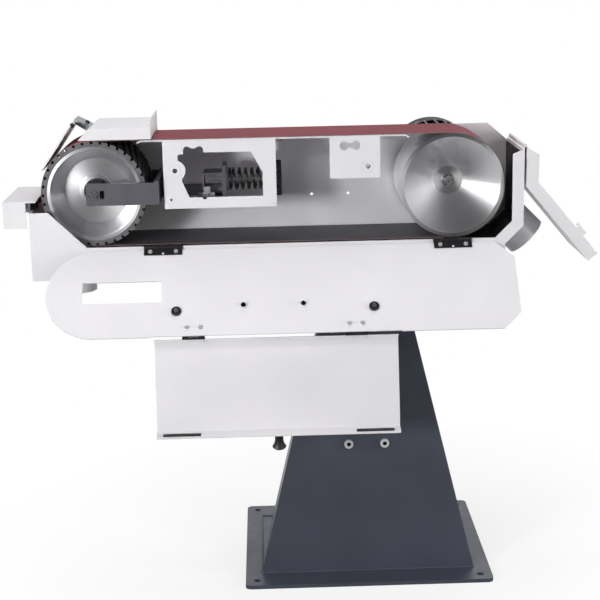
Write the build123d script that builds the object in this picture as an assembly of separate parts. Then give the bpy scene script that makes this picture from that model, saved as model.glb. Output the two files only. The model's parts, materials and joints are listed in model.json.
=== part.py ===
from build123d import *
import math
import os

# Two-wheel belt grinder on a pedestal, shown with its covers open.
# The stand's frame: origin at the centre of the base plate's underside, X right, Y back, Z up.
# The head's frame: origin on the contact wheel's axis, level with the belt's front edge.
# Hinged covers are drawn closed, where they fit, and then swung open to their rest.

# Belt and wheels
belt_length = 2000.0
belt_width = 150.0
belt_thickness = 1.2
belt_gap = 0.3
wheel_radius = 100.0
wheel_span = belt_length / 2 - math.pi * wheel_radius

# Clearances
running_clearance = 0.05
# Cutters reach this far past what they cut
cut_margin = 1.0
moving_gap = 0.5

# Stand
axis_height = 800.0
drive_offset = 170.0
base_width = 500.0
base_depth = 420.0
base_thickness = 8.0
anchor_hole_radius = 7.0
anchor_inset = 24.0
column_bottom_width = 434.0
column_top_width = 114.0
column_bottom_depth = 300.0
column_top_depth = 190.0
column_plan_taper = 0.08
column_wall = 3.0
top_plate_thickness = 8.0
top_plate_margin = 30.0
stand_bolt_radius = 6.0
stand_bolt_head = 7.0
front_bolt_height = 282.0
front_bolt_spacing = 72.0
front_bolt_head = 5.0
front_bolt_length = 20.0
front_bolt_socket = 4.5

# Sheet housing
sheet = 3.0
bend_radius = 2.0
front_plane = -22.0
panel_gap = 10.0
floor_drop = 10.0
panel_top = 99.0
panel_chamfer_x = 777.0
panel_left_margin = 20.0
panel_hole_radius = 3.0
panel_holes = ((420.0, -37.0), (494.0, -37.0), (420.0, 31.0), (587.0, -53.0))
end_wall_reach = 134.0
end_wall_top = 69.0
end_lip_fall = 9.0
corner_cut = 35.0
end_lip = 22.0
floor_left = 20.0
floor_lip = 18.0
front_lip_top = -100.5
liner_thickness = 2.0
liner_slot = 14.0
liner_slot_width = 4.5
liner_slot_shares = (0.3, 0.72)
liner_slot_inset = 5.0
liner_margin = 1.0
liner_floor = 110.0
liner_top_gap = 6.0

# Suction stubs
stub_radius = 40.0
stub_wall = 2.5
end_stub_radius = 42.0
end_stub_length = 44.0
end_stub_shift = 12.0
chute_stub_length = 40.0
chute_stub_x = -54.0

# Spark chute
chute_left = -124.0
chute_top = -31.0
chute_bottom = -163.0
chute_notch_x = -88.0
chute_notch_right = -17.0

# Top guard, spark guard and work rest
guard_sheet = 2.5
guard_top = 126.0
guard_skirt_bottom = 104.0
guard_left = -3.0
guard_skirt_left = -24.0
guard_right = 113.0
guard_front = -15.0
guard_stop_top = 139.0
guard_rear_flange = 62.0
spark_hinge_x = -38.0
spark_hinge_z = 129.0
spark_barrel_radius = 4.0
spark_length = 102.0
spark_lean = 35.0
spark_inset = 5.0
spark_barrel_inset = 25.0
spark_bracket_inset = 20.0
bracket_foot = 28.0
bracket_bend = 4.0
bracket_tip = (2.0, 9.5)
cheek_nose = (-1.0, 2.0)
cheek_under = (5.0, -1.0)
cheek_heel = (-5.0, -9.0)
rest_left = -172.0
rest_right = -110.0
rest_top = -8.0
rest_skirt = 52.0
rest_skirt_right = -129.0
rest_bracket_depth = 110.0
rest_stud_radius = 4.0
rest_stud_inset = 20.0
rest_stud_length = 22.0
rest_slot_slack = 4.0
rest_leg = 36.0
rest_setback = 12.0
rest_shelf_gap = 2.0
rest_gusset_nose = 6.0
rest_travel = 25.0

# Platen and its folded front plates
platen_sheet = 3.0
platen_gap = 0.5
platen_left = 84.0
platen_right = 603.0
platen_front = 2.0
platen_end_radius = 16.0
platen_end_bend = 45.0
platen_flange_inset = 30.0
plate_left = 133.0
plate_right = 348.0
plate_bottom = -33.0
tab_left = 451.0
tab_right = 547.0
tab_bottom = 18.0
plate_holes = ((13.0, 17.0, 2.5), (210.0, 6.0, 1.5))
boss_left_x = 155.0
boss_right_x = 524.0
boss_z = 40.0
boss_radius = 13.0
boss_length = 18.0
platen_spacer_radius = 8.0
platen_spacer_margin = 1.0
platen_flange = 26.0
lock_thread_radius = 4.0
lock_hole_radius = 4.8
nut_bore = 4.5
window_left = 168.0
window_right = 322.0
window_bottom = -12.0
window_top = 74.0
window_corner = 40.0
window_slope = 21.0
window_toe = 13.0
window_heel = 31.0
lug_radius = 20.15
lobe_radius = 6.5
lobe_rise = 5.5
lobe_side = 6.8
lobe_side_drop = 2.5
lobe_corner = 4.0
lobe_near = 10.5
lobe_far = 35.8
notch_radius = 13.0
notch_rise = 15.8
key_notch = 4.5
bow_place = 39.0
bow_drop = 19.0
bow_half = 10.5
bow_height = 13.0
bow_lobe = 9.0
waist_reach = 15.0
waist_radius = 10.5

# Tension gear
tension_travel = 8.0
rod_radius = 9.0
rod_y = 75.0
rod_z = 11.5
fork_plate = 8.0
fork_height = 42.0
fork_left = -14.0
fork_right = 124.0
fork_front_gap = 6.0
fork_rear_gap = 1.0
fork_cross_rise = 3.0
fork_slot_x = (11.5, 20.5)
fork_slot_height = 16.0
draw_bar_radius = 12.0
draw_bar_z = -8.5
axle_radius = 10.0
collar_radius = 24.0
collar_length = 8.0
spacer_radius = 14.0
axle_stub = 3.0
axle_tip_radius = 8.0
carriage_left = 205.0
carriage_plate = 8.0
carriage_depth = 60.0
carriage_sheet = 3.0
carriage_top = 28.0
carriage_plate_top = 42.0
carriage_bottom = -24.0
carriage_hook = 22.0
carriage_foot = 10.0
box_back_height = 30.0
box_notch = 45.0
bush_wall = 5.0
bush_length = 14.0
bush_flange = 4.0
spring_radius = 22.5
spring_wire = 4.5
spring_turns = 8
spring_start = 255.0
seat_thickness = 4.0
seat_rim = 2.0
knob_radius = 35.0
knob_thickness = 10.0
knob_lobes = 8
knob_lobe_radius = 7.0
tracking_width = 33.0
tracking_overhang = 10.0
tracking_sheet = 4.0
tracking_bar_height = 15.0
tracking_stem_height = 11.0
tracking_stem = (-4.0, 9.0)
tracking_screw_rise = 10.0
tracking_screw_radius = 2.5
tracking_head_radius = 4.5
tracking_head = 4.0
tracking_head_gap = 0.3
tracking_socket = 2.2
tracking_socket_depth = 2.5

# Contact wheel
tyre_thickness = 10.0
tyre_slots = 36
tyre_slot_width = 5.0
tyre_slot_depth = 6.0
tyre_slot_turn = 12.0
hub_boss_radius = 31.0
hub_recess = 46.0
hub_rim = 8.0
hub_edge = 2.0
hub_lead = 6.0
hub_cone = 19.0
hub_boss_rise = 3.0
hub_bore_gap = 4.0
bearing_radius = 23.5
bearing_width = 14.0

# Drive wheel and motor
dish_depth = 66.0
dish_rim = 7.0
dish_lip = 4.0
dish_wall = 14.0
drive_hub_setback = 14.0
drive_hub_radius = 28.0
shaft_radius = 12.0
shaft_tip = 78.0
drive_bolt_radius = 5.0
drive_washer_radius = 12.0
drive_washer = 3.0
drive_bolt_head = 8.0
drive_head_radius = 8.0
drive_socket = 4.0
drive_socket_depth = 4.0
drive_bolt_grip = 25.0
motor_flange_radius = 90.0
motor_flange_thickness = 12.0
motor_spigot_radius = 54.0
flange_bolt_radius = 4.5
flange_bolt_corner = 8.0
flange_bolt_head = 6.0
motor_bolt_circle = 75.0
motor_length = 145.0
motor_core_radius = 83.0
motor_wall = 7.0
motor_fin_radius = 92.0
motor_fins = 28
motor_fin_thickness = 2.5
motor_fin_start = 10.0
motor_fin_end = 12.0
motor_bearing_wall = 12.0
motor_end_wall = 10.0
stator_bore = 46.0
stator_start = 30.0
stator_end = 45.0
rotor_gap = 1.0
rotor_inset = 5.0
terminal_start = 45.0
terminal_length = 80.0
terminal_pad_height = 68.0
terminal_pad_rise = 2.0
terminal_depth = 40.0
terminal_margin = 5.0
terminal_height = 84.0
terminal_corner = 6.0
gland_radius = 11.0
gland_bore = 6.0
gland_length = 18.0
gland_floor = 2.0
cowl_radius = 90.0
cowl_length = 72.0
cowl_wall = 2.0
cowl_overlap = 12.0
cowl_round = 9.0
cowl_slot_rings = ((30.0, 8), (50.0, 12))
cowl_slot_length = 14.0
cowl_slot_width = 6.0
fan_gap = 18.0
fan_width = 22.0
fan_hub_wall = 10.0
fan_disc = 3.0
fan_disc_gap = 12.0
fan_blade = 3.0
fan_blades = 8

# Front door
door_sheet = 2.5
door_left = -90.0
door_right = 798.0
door_top = 93.5
door_axis_drop = 102.5
door_edge_gap = 6.0
door_open = 136.0
slot_left = -22.0
slot_length = 149.0
slot_height = 46.0
slot_z = -4.0
door_barrel_radius = 3.5
door_leaf_length = 73.0
door_leaf_height = 18.0
door_leaf_sheet = 2.0
door_hinge_places = (128.5, 683.0)
door_notch = 3.0
door_notch_margin = 6.0
door_screw_inset = 12.0
door_screw_share = 0.62
door_screw_radius = 4.0
door_screw_head = 2.0
handle_spacing = 112.0
handle_x = 336.0
handle_z = 31.0
handle_reach = 34.0
handle_rod = 5.0
handle_bend = 14.0
handle_nut_corner = 6.0
handle_nut = 4.0
handle_stud = 2.5
handle_stud_reach = 9.0
lock_disc_radius = 9.5
lock_disc = 4.0
lock_disc_edge = 1.5
lock_grip_radius = 14.0
lock_grip_length = 15.5
lock_grip_edge = 3.0
lock_tip = 7.0
lock_travel = 28.0

# Flap on the door
flap_sheet = 2.0
flap_left = 113.5
flap_right = 567.0
flap_rise = 24.0
flap_lip = 24.0
flap_lip_bend = 66.0
flap_fold = 122.1
flap_barrel_radius = 2.5
flap_hinge_places = (187.0, 488.0)
flap_leaf_length = 42.0
flap_leaf_sheet = 1.5
flap_screw_drop = 18.0
flap_screw_spread = 12.5
flap_nut_corner = 4.5
flap_nut = 3.0
flap_stud = 2.0
flap_door_leaf = 30.0
flap_cover_leaf = 16.0
flap_leaf_gap = 1.0
flap_rear_gap = 2.0
buffer_length = 70.0
buffer_thickness = 2.0
buffer_inset = 12.0
buffer_place = 0.62
buffer_share = 0.3
flap_knob_place = 0.55
flap_knob_length = 31.0
flap_knob_radius = 13.0

# Hood over the drive wheel
hood_sheet = 2.5
hood_short = 77.0
hood_long = 193.0
hood_bend = 41.0
hood_skirt = 23.0
hood_skirt_cut = 13.0
hood_open = 230.5
hood_barrel_radius = 3.0
hood_leaf_sheet = 1.2
hood_leaf_height = 24.0
hood_knuckles = 5
hood_pin_inset = 4.0
hood_pivot_rise = 6.0
hood_tab_place = 147.0
hood_tab_width = 20.0
hood_tab_drop = 9.0
hood_tab_root = 4.0
hood_tab_hook = 6.0

# Switch on the stand
switch_width = 70.0
switch_height = 110.0
switch_depth = 52.0
switch_z = 430.0
button_radius = 14.0
button_travel = 3.0
button_spacing = 48.0
button_well = 12.0
button_edge = 2.0
start_button_reach = 4.0
stop_button_reach = 8.0
switch_corner = 8.0
switch_edge = 3.0

# Values worked out from the driving ones
stand_offset = wheel_span - drive_offset
head_place = Pos(-stand_offset, -belt_width, axis_height)
panel_front = belt_width + panel_gap
panel_rear = panel_front + sheet
floor_top = -wheel_radius - floor_drop
floor_under = floor_top - sheet
end_wall_x = wheel_span + end_wall_reach
end_wall_inner = end_wall_x - sheet
platen_top = wheel_radius + belt_gap - platen_gap
plate_back = platen_front + platen_sheet
door_axis_y = front_plane - 1.0
door_inner = door_axis_y
door_outer = door_inner - door_sheet
door_axis_z = -door_axis_drop
door_pivot = (0.0, door_axis_y, door_axis_z)
flap_axis_y = door_outer - flap_barrel_radius
flap_axis_z = door_top + door_notch / 2
flap_pivot = (0.0, flap_axis_y, flap_axis_z)
hood_pivot = (end_wall_x + hood_barrel_radius, 0.0, end_wall_top + hood_pivot_rise)
fork_front = -fork_front_gap - fork_plate
fork_rear = belt_width + fork_rear_gap
carriage_x = (spring_start - seat_thickness - carriage_plate, spring_start - seat_thickness)
tracking_x = carriage_left - tracking_overhang + tracking_width / 2 - 2 * moving_gap
spring_end = plate_right - sheet - seat_thickness - running_clearance
motor_rear = panel_rear + motor_flange_thickness + motor_length
fan_place = motor_rear + fan_gap

nodes = {}


# Helpers for plates, rods and folded sheets
def block(x, y, z):
    middle = Pos((x[0] + x[1]) / 2, (y[0] + y[1]) / 2, (z[0] + z[1]) / 2)
    return middle * Box(x[1] - x[0], y[1] - y[0], z[1] - z[0])


def rect(x, z):
    return Pos((x[0] + x[1]) / 2, (z[0] + z[1]) / 2) * Rectangle(x[1] - x[0], z[1] - z[0])


def outline(*points):
    return make_face(Polyline(*points, close=True))


def front_plate(sketch, y):
    """Extrudes a sketch drawn with X across and Z up, from y[0] back to y[1]."""
    plane = Plane(origin=(0, y[1], 0), x_dir=(1, 0, 0), z_dir=(0, -1, 0))
    return extrude(plane * sketch, amount=y[1] - y[0])


def side_plate(sketch, x):
    """Extrudes a sketch drawn with Y across and Z up, from x[0] right to x[1]."""
    plane = Plane(origin=(x[0], 0, 0), x_dir=(0, 1, 0), z_dir=(1, 0, 0))
    return extrude(plane * sketch, amount=x[1] - x[0])


def rod_along_x(radius, x, y, z):
    return Pos((x[0] + x[1]) / 2, y, z) * Rot(0, 90, 0) * Cylinder(radius, x[1] - x[0])


def rod_along_y(radius, x, y, z):
    return Pos(x, (y[0] + y[1]) / 2, z) * Rot(90, 0, 0) * Cylinder(radius, y[1] - y[0])


def rod_along_z(radius, x, y, z):
    return Pos(x, y, (z[0] + z[1]) / 2) * Cylinder(radius, z[1] - z[0])


def turned_y(profile, x=0.0, z=0.0):
    """Turns a profile of (radius, y) points about an axis along Y."""
    return Pos(x, 0, z) * revolve(outline(*profile), axis=Axis.Y)


def left_normal(start, end):
    along = (Vector(*end) - Vector(*start)).normalized()
    return Vector(-along.Y, along.X)


def moved_line(points, distance):
    """Moves a bent line to the left of its direction, with mitred corners."""
    moved = []
    for place, point in enumerate(points):
        sides = []
        if place > 0:
            sides.append(left_normal(points[place - 1], point))
        if place < len(points) - 1:
            sides.append(left_normal(point, points[place + 1]))
        mitre = sides[0]
        if len(sides) == 2:
            mitre = (sides[0] + sides[1]) * (1 / (1 + sides[0].dot(sides[1])))
        shifted = Vector(*point) + mitre * distance
        moved.append((shifted.X, shifted.Y))
    return moved


def bent_line(points, radii):
    if len(points) == 2:
        return Line(*points)
    return FilletPolyline(*points, radius=radii)


def folded_sheet(points, thickness, inner_radius=bend_radius):
    """Section of a folded sheet beside a bent line: on its left, or its right if thickness is negative."""
    outer_radius = inner_radius + abs(thickness)
    near_radii = []
    far_radii = []
    for place in range(1, len(points) - 1):
        before = left_normal(points[place - 1], points[place])
        along = Vector(*points[place + 1]) - Vector(*points[place])
        turns_left = before.dot(along) > 0
        folds_to_sheet = turns_left == (thickness > 0)
        near_radii.append(outer_radius if folds_to_sheet else inner_radius)
        far_radii.append(inner_radius if folds_to_sheet else outer_radius)
    far_points = moved_line(points, thickness)
    near = bent_line(points, near_radii)
    far = bent_line(far_points, far_radii)
    ends = [Line(points[0], far_points[0]), Line(points[-1], far_points[-1])]
    return make_face(near.edges() + far.edges() + ends)


def swung(shape, pivot, turn):
    return Pos(*pivot) * turn * Pos(-pivot[0], -pivot[1], -pivot[2]) * shape


def keep(name, *solids, place=head_place):
    nodes[name] = [place * solid for solid in solids]


# Stand
def column_corners(width, depth, inset, z):
    """Four corners of the column's plan at one height, front left first."""
    half_front = width / 2 - inset - column_plan_taper * inset
    half_rear = width / 2 - inset - column_plan_taper * (depth - inset)
    front = -belt_width + inset
    rear = -belt_width + depth - inset
    return [(-half_front, front, z), (half_front, front, z), (half_rear, rear, z), (-half_rear, rear, z)]


def column_solid(bottom, top, inset):
    low = column_corners(column_bottom_width, column_bottom_depth, inset, bottom)
    high = column_corners(column_top_width, column_top_depth, inset, top)
    faces = [outline(*low), outline(*high)]
    for place in range(4):
        following = (place + 1) % 4
        faces.append(outline(low[place], low[following], high[following], high[place]))
    return Solid(Shell(faces))


def hex_bolt(radius, length, head):
    """Bolt with its head's underside at Z 0 and its shank pointing down."""
    hexagon = extrude(RegularPolygon(radius * 1.65, 6), amount=head)
    return hexagon + Pos(0, 0, -length / 2) * Cylinder(radius, length)


def build_stand():
    stand = Pos(0, 0, 0)
    top = axis_height + floor_under
    column_top = top - top_plate_thickness
    anchors_x = base_width / 2 - anchor_inset
    anchors_y = base_depth / 2 - anchor_inset
    plate = Pos(0, 0, base_thickness / 2) * Box(base_width, base_depth, base_thickness)
    plate = fillet(plate.edges().filter_by(Axis.Z), anchor_inset / 2)
    hole_z = (-cut_margin, base_thickness + cut_margin)
    for x in (-anchors_x, anchors_x):
        for y in (-anchors_y, anchors_y):
            plate -= rod_along_z(anchor_hole_radius, x, y, hole_z)
    keep("stand_base_plate", plate, place=stand)

    column = column_solid(base_thickness, column_top, 0)
    column -= column_solid(base_thickness, column_top, column_wall)
    half_plate = column_top_width / 2 + top_plate_margin
    plate_y = (-belt_width, panel_rear - belt_width)
    column += block((-half_plate, half_plate), plate_y, (column_top, top))
    bolt_x = half_plate - top_plate_margin / 2
    bolt_rows = (plate_y[0] + top_plate_margin, plate_y[1] - top_plate_margin)
    spots = [(x, y) for x in (-bolt_x, bolt_x) for y in bolt_rows]
    bolts = []
    for x, y in spots:
        column -= rod_along_z(stand_bolt_radius, x, y, (column_top - cut_margin, top + cut_margin))
        bolt = hex_bolt(stand_bolt_radius, top_plate_thickness + sheet, stand_bolt_head)
        bolts.append(Pos(x, y, column_top) * Rot(180, 0, 0) * bolt)
    face = -belt_width
    for x in (-front_bolt_spacing / 2, front_bolt_spacing / 2):
        hole_y = (face - cut_margin, face + column_wall + cut_margin)
        column -= rod_along_y(stand_bolt_radius, x, hole_y, front_bolt_height)
        shank = rod_along_y(stand_bolt_radius, x, (face, face + front_bolt_length), front_bolt_height)
        head_y = (face - front_bolt_head, face)
        head = rod_along_y(stand_bolt_radius * 1.5, x, head_y, front_bolt_height)
        socket = extrude(RegularPolygon(stand_bolt_radius * 0.7, 6), amount=front_bolt_socket)
        socket = Pos(x, head_y[0] - cut_margin, front_bolt_height) * Rot(-90, 0, 0) * socket
        bolts.append(shank + head - socket)
    keep("stand_column", column, place=stand)
    keep("stand_bolts", *bolts, place=stand)
    return spots


def build_switch():
    stand = Pos(0, -belt_width, 0)
    low = switch_z - switch_height / 2
    case = block((-switch_width / 2, switch_width / 2), (-switch_depth, 0), (low, low + switch_height))
    case = fillet(case.edges().filter_by(Axis.Y), switch_corner)
    case = fillet(case.faces().sort_by(Axis.Y)[0].edges(), switch_edge)
    well_floor = -switch_depth + button_well
    for name, side, reach in (
        ("stop_button", -1, stop_button_reach),
        ("start_button", 1, start_button_reach),
    ):
        z = switch_z + side * button_spacing / 2
        case -= rod_along_y(button_radius + moving_gap, 0, (-switch_depth - cut_margin, well_floor), z)
        button_y = (-switch_depth - reach, well_floor - button_travel - moving_gap)
        button = rod_along_y(button_radius, 0, button_y, z)
        button = fillet(button.faces().sort_by(Axis.Y)[0].edges(), button_edge)
        keep(name, button, place=stand)
    keep("switch_box", case, place=stand)


# Sheet housing
def panel_outline():
    left_radius = (panel_top - floor_top - panel_left_margin) / 2
    centre_z = panel_top - left_radius
    centre_x = door_left + left_radius
    right = end_wall_inner
    slope_end = panel_top - (right - panel_chamfer_x) * math.tan(math.radians(hood_bend))
    body = outline(
        (centre_x, panel_top),
        (panel_chamfer_x, panel_top),
        (right, slope_end),
        (right, floor_top + corner_cut),
        (right - corner_cut, floor_top),
        (floor_left, floor_top),
        (floor_left, centre_z - left_radius),
        (centre_x, centre_z - left_radius),
    )
    return body + Pos(centre_x, centre_z) * Circle(left_radius)


def build_back_panel():
    panel = front_plate(panel_outline(), (panel_front, panel_rear))
    reach = (panel_front - cut_margin, panel_rear + cut_margin)
    panel -= rod_along_y(motor_spigot_radius, wheel_span, reach, 0)
    for x, z in motor_bolt_spots():
        panel -= rod_along_y(flange_bolt_radius, x, reach, z)
    for x, z in panel_holes:
        panel -= rod_along_y(panel_hole_radius, x, reach, z)
    keep("back_panel", panel)


def end_stub_frame():
    """Plane at the middle of the lower right corner, with its normal out along the stub."""
    shift = end_stub_shift * math.sin(math.radians(45))
    middle_x = end_wall_x - corner_cut / 2 + shift
    middle_z = floor_under + corner_cut / 2 + shift
    return Plane(origin=(middle_x, belt_width / 2, middle_z), x_dir=(0, 1, 0), z_dir=(1, 0, -1))


def end_corner(outset):
    """Solid corner of the housing, moved out by outset, that the end stub is coped on."""
    line = [
        (floor_left, floor_under),
        (end_wall_x - corner_cut, floor_under),
        (end_wall_x, floor_under + corner_cut),
        (end_wall_x, end_wall_top),
    ]
    moved = moved_line(line, -outset)
    face = outline(*moved, (floor_left, end_wall_top))
    return front_plate(face, (-belt_width, 2 * belt_width))


def build_wrap(stand_spots):
    line = [
        (floor_left, floor_under),
        (end_wall_x - corner_cut, floor_under),
        (end_wall_x, floor_under + corner_cut),
        (end_wall_x, end_wall_top),
    ]
    wrap = front_plate(folded_sheet(line, sheet), (front_plane, panel_front))
    inner = moved_line(line[1:], end_lip)
    lip_corner = inner[1][0] - (inner[1][1] - front_lip_top)
    lip_y = (front_plane, front_plane + sheet)
    lip = outline(
        (floor_left, floor_under - floor_lip),
        (line[1][0], floor_under - floor_lip),
        line[1],
        line[2],
        line[3],
        (inner[2][0], end_wall_top - end_lip_fall),
        inner[1],
        (lip_corner, front_lip_top),
        (floor_left, front_lip_top),
    )
    wrap += front_plate(lip, lip_y)
    for x in door_hinge_places:
        half_room = door_leaf_length / 2 + 2 * moving_gap
        room_y = (front_plane - cut_margin, front_plane + sheet + cut_margin)
        room_z = (door_axis_z - door_barrel_radius - moving_gap, front_lip_top + cut_margin)
        wrap -= block((x - half_room, x + half_room), room_y, room_z)
    bore = end_stub_frame() * Cylinder(end_stub_radius - stub_wall, 4 * end_stub_radius)
    wrap -= bore
    hole_z = (floor_under - cut_margin, floor_top + cut_margin)
    for x, y in stand_spots:
        wrap -= rod_along_z(stand_bolt_radius, x + stand_offset, y + belt_width, hole_z)
    keep("housing_wrap", wrap)

    inside = moved_line(line, sheet)
    liner_line = [
        (inside[1][0] - liner_floor, inside[1][1]),
        inside[1],
        inside[2],
        (end_wall_inner, end_wall_top - liner_top_gap),
    ]
    liner_y = (front_plane + sheet + liner_margin, panel_front - liner_margin)
    liner = front_plate(folded_sheet(liner_line, liner_thickness), liner_y)
    liner -= bore
    slope = (Vector(*inside[2]) - Vector(*inside[1])).normalized()
    for share in liner_slot_shares:
        spot = Vector(*inside[1]) * (1 - share) + Vector(*inside[2]) * share
        cutter = Box(liner_slot, liner_slot_width, 4 * liner_thickness)
        angle = math.degrees(math.atan2(slope.Y, slope.X))
        liner -= Pos(spot.X, liner_y[0] + liner_slot_inset, spot.Y) * Rot(0, -angle, 0) * cutter
    keep("end_liner", liner)

    tube = Cylinder(end_stub_radius, 2 * end_stub_length)
    tube -= Cylinder(end_stub_radius - stub_wall, 3 * end_stub_length)
    stub = end_stub_frame() * tube - end_corner(0)
    keep("end_suction_stub", stub.solids().sort_by(Axis.X)[-1])


def build_chute():
    front = outline(
        (chute_left, chute_top),
        (chute_notch_x, chute_top),
        (chute_notch_right, front_lip_top),
        (floor_left, front_lip_top),
        (floor_left, chute_bottom),
        (chute_left, chute_bottom),
    )
    side_y = (front_plane, panel_front)
    chute = front_plate(front, side_y)
    hollow = outline(
        (chute_left + sheet, chute_top + cut_margin),
        (floor_left - sheet, chute_top + cut_margin),
        (floor_left - sheet, chute_bottom + sheet),
        (chute_left + sheet, chute_bottom + sheet),
    )
    chute -= front_plate(hollow, (front_plane + sheet, panel_front - sheet))
    outlet_y = belt_width / 2
    bore = stub_radius - stub_wall
    chute -= rod_along_z(bore, chute_stub_x, outlet_y, (chute_bottom - cut_margin, chute_bottom + 2 * sheet))
    inside_y = (front_plane + sheet, panel_front - sheet)
    passage_x = (floor_left - sheet - cut_margin, floor_left + cut_margin)
    chute -= block(passage_x, inside_y, (floor_top, chute_top))
    keep("spark_chute", chute)
    stub_z = (chute_bottom - chute_stub_length, chute_bottom)
    stub = rod_along_z(stub_radius, chute_stub_x, outlet_y, stub_z)
    stub -= rod_along_z(bore, chute_stub_x, outlet_y, (stub_z[0] - cut_margin, stub_z[1] + cut_margin))
    keep("chute_suction_stub", stub)


def build_guards():
    rear = panel_rear + guard_sheet
    top = block((guard_left, guard_right), (guard_front, rear), (guard_top - guard_sheet, guard_top))
    skirt = outline(
        (guard_skirt_left, guard_skirt_bottom),
        (guard_right, guard_skirt_bottom),
        (guard_right, guard_top),
        (guard_left, guard_top),
    )
    guard = top + front_plate(skirt, (guard_front, guard_front + guard_sheet))
    flange = rect((guard_left, guard_right), (guard_rear_flange, guard_top))
    guard += front_plate(flange, (panel_rear, rear))
    stop_x = (guard_right - guard_sheet, guard_right)
    guard += block(stop_x, (guard_front, rear), (guard_skirt_bottom, guard_stop_top))
    keep("top_guard", guard)

    barrel_y = (spark_barrel_inset, belt_width - spark_barrel_inset)
    bracket_y = (barrel_y[0] + spark_bracket_inset, barrel_y[1] - spark_bracket_inset)
    foot_z = guard_top - guard_sheet
    bend_x = guard_left - bracket_bend
    tip = (spark_hinge_x + bracket_tip[0], spark_hinge_z + bracket_tip[1])
    arm = [(guard_left + bracket_foot, foot_z), (bend_x, foot_z), tip]
    bracket = front_plate(folded_sheet(arm, guard_sheet), bracket_y)
    cheek = outline(
        arm[1],
        arm[2],
        (spark_hinge_x + cheek_nose[0], spark_hinge_z + cheek_nose[1]),
        (spark_hinge_x + cheek_under[0], spark_hinge_z + cheek_under[1]),
        (bend_x + cheek_heel[0], foot_z + cheek_heel[1]),
    )
    for y in (bracket_y[0], bracket_y[1] - guard_sheet):
        bracket += front_plate(cheek, (y, y + guard_sheet))
    pin_radius = spark_barrel_radius / 2
    bracket += rod_along_y(spark_barrel_radius, spark_hinge_x, bracket_y, spark_hinge_z)
    bracket += rod_along_y(pin_radius, spark_hinge_x, barrel_y, spark_hinge_z)
    keep("guard_bracket", bracket)

    lean = math.radians(spark_lean)
    along = Vector(-math.sin(lean), -math.cos(lean))
    start = Vector(spark_hinge_x, spark_hinge_z) + along * 2
    end = Vector(spark_hinge_x, spark_hinge_z) + along * spark_length
    shield_y = (-spark_inset, belt_width + spark_inset)
    face = folded_sheet([(start.X, start.Y), (end.X, end.Y)], -guard_sheet)
    shield = front_plate(face, shield_y)
    knuckles = [(barrel_y[0], bracket_y[0] - moving_gap), (bracket_y[1] + moving_gap, barrel_y[1])]
    room = (bracket_y[0] - moving_gap, bracket_y[1] + moving_gap)
    shield -= rod_along_y(spark_barrel_radius + 1.5, spark_hinge_x, room, spark_hinge_z)
    for knuckle in knuckles:
        shield += rod_along_y(spark_barrel_radius, spark_hinge_x, knuckle, spark_hinge_z)
    shield -= rod_along_y(pin_radius + running_clearance, spark_hinge_x, shield_y, spark_hinge_z)
    keep("spark_guard", shield)


def build_work_rest():
    rest_y = (front_plane, panel_front)
    under = rest_top - sheet
    table = block((rest_left, rest_right), rest_y, (under, rest_top))
    skirt_z = (rest_top - rest_skirt, rest_top)
    skirt_x = (rest_left, rest_skirt_right)
    for y in ((rest_y[0], rest_y[0] + sheet), (rest_y[1] - sheet, rest_y[1])):
        table += block(skirt_x, y, skirt_z)
    table += block((rest_left, rest_left + sheet), rest_y, skirt_z)
    centre_y = belt_width / 2
    stud_x = (rest_left + rest_right) / 2
    bracket_top = under
    bracket_y = (centre_y - rest_bracket_depth / 2, centre_y + rest_bracket_depth / 2)
    studs = (bracket_y[0] + rest_stud_inset, bracket_y[1] - rest_stud_inset)
    for y in studs:
        table += rod_along_z(rest_stud_radius, stud_x, y, (under - rest_stud_length, under))
    keep("work_rest", table)

    leg = [
        (chute_left, chute_top - rest_leg),
        (chute_left, bracket_top),
        (rest_left + rest_setback, bracket_top),
    ]
    bracket = front_plate(folded_sheet(leg, sheet), bracket_y)
    shelf = (chute_left, rest_right - rest_shelf_gap)
    bracket += block(shelf, bracket_y, (bracket_top - sheet, bracket_top))
    for y in (bracket_y[0], bracket_y[1] - sheet):
        gusset = outline(
            (chute_left, chute_top),
            (chute_left, chute_top + rest_gusset_nose),
            (shelf[1] - sheet, bracket_top - sheet),
            (shelf[1], bracket_top - sheet),
            (shelf[1], chute_top),
        )
        bracket += front_plate(gusset, (y, y + sheet))
    for y in studs:
        slot_length = rest_travel + 2 * rest_stud_radius + rest_slot_slack
        slot = SlotOverall(slot_length, 2 * (rest_stud_radius + moving_gap))
        place = Pos(stud_x - rest_travel / 2, y, bracket_top - 2 * sheet)
        bracket -= place * extrude(slot, amount=3 * sheet)
    keep("rest_bracket", bracket)


# Belt, platen and wheels
def stadium(radius):
    middle = Pos(wheel_span / 2, 0)
    return middle * SlotCenterToCenter(wheel_span, 2 * radius)


def build_belt():
    inner = wheel_radius + belt_gap
    loop = stadium(inner + belt_thickness) - stadium(inner)
    keep("abrasive_belt", front_plate(loop, (0, belt_width)))


def platen_top_sheet():
    """Section of the platen's top: flat, with both ends rolled down."""
    bend = math.radians(platen_end_bend)
    reach = platen_end_radius * math.sin(bend)
    centre_z = platen_top - platen_end_radius
    spread = 2 * platen_end_radius
    top_sheet = rect((platen_left + reach, platen_right - reach), (platen_top - platen_sheet, platen_top))
    for side, edge in ((-1, platen_left + reach), (1, platen_right - reach)):
        ring = Pos(edge, centre_z) * (Circle(platen_end_radius) - Circle(platen_end_radius - platen_sheet))
        wedge = outline(
            (edge, centre_z),
            (edge, centre_z + spread),
            (edge + side * spread * math.sin(bend), centre_z + spread * math.cos(bend)),
        )
        top_sheet += ring & wedge
    return top_sheet


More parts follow.
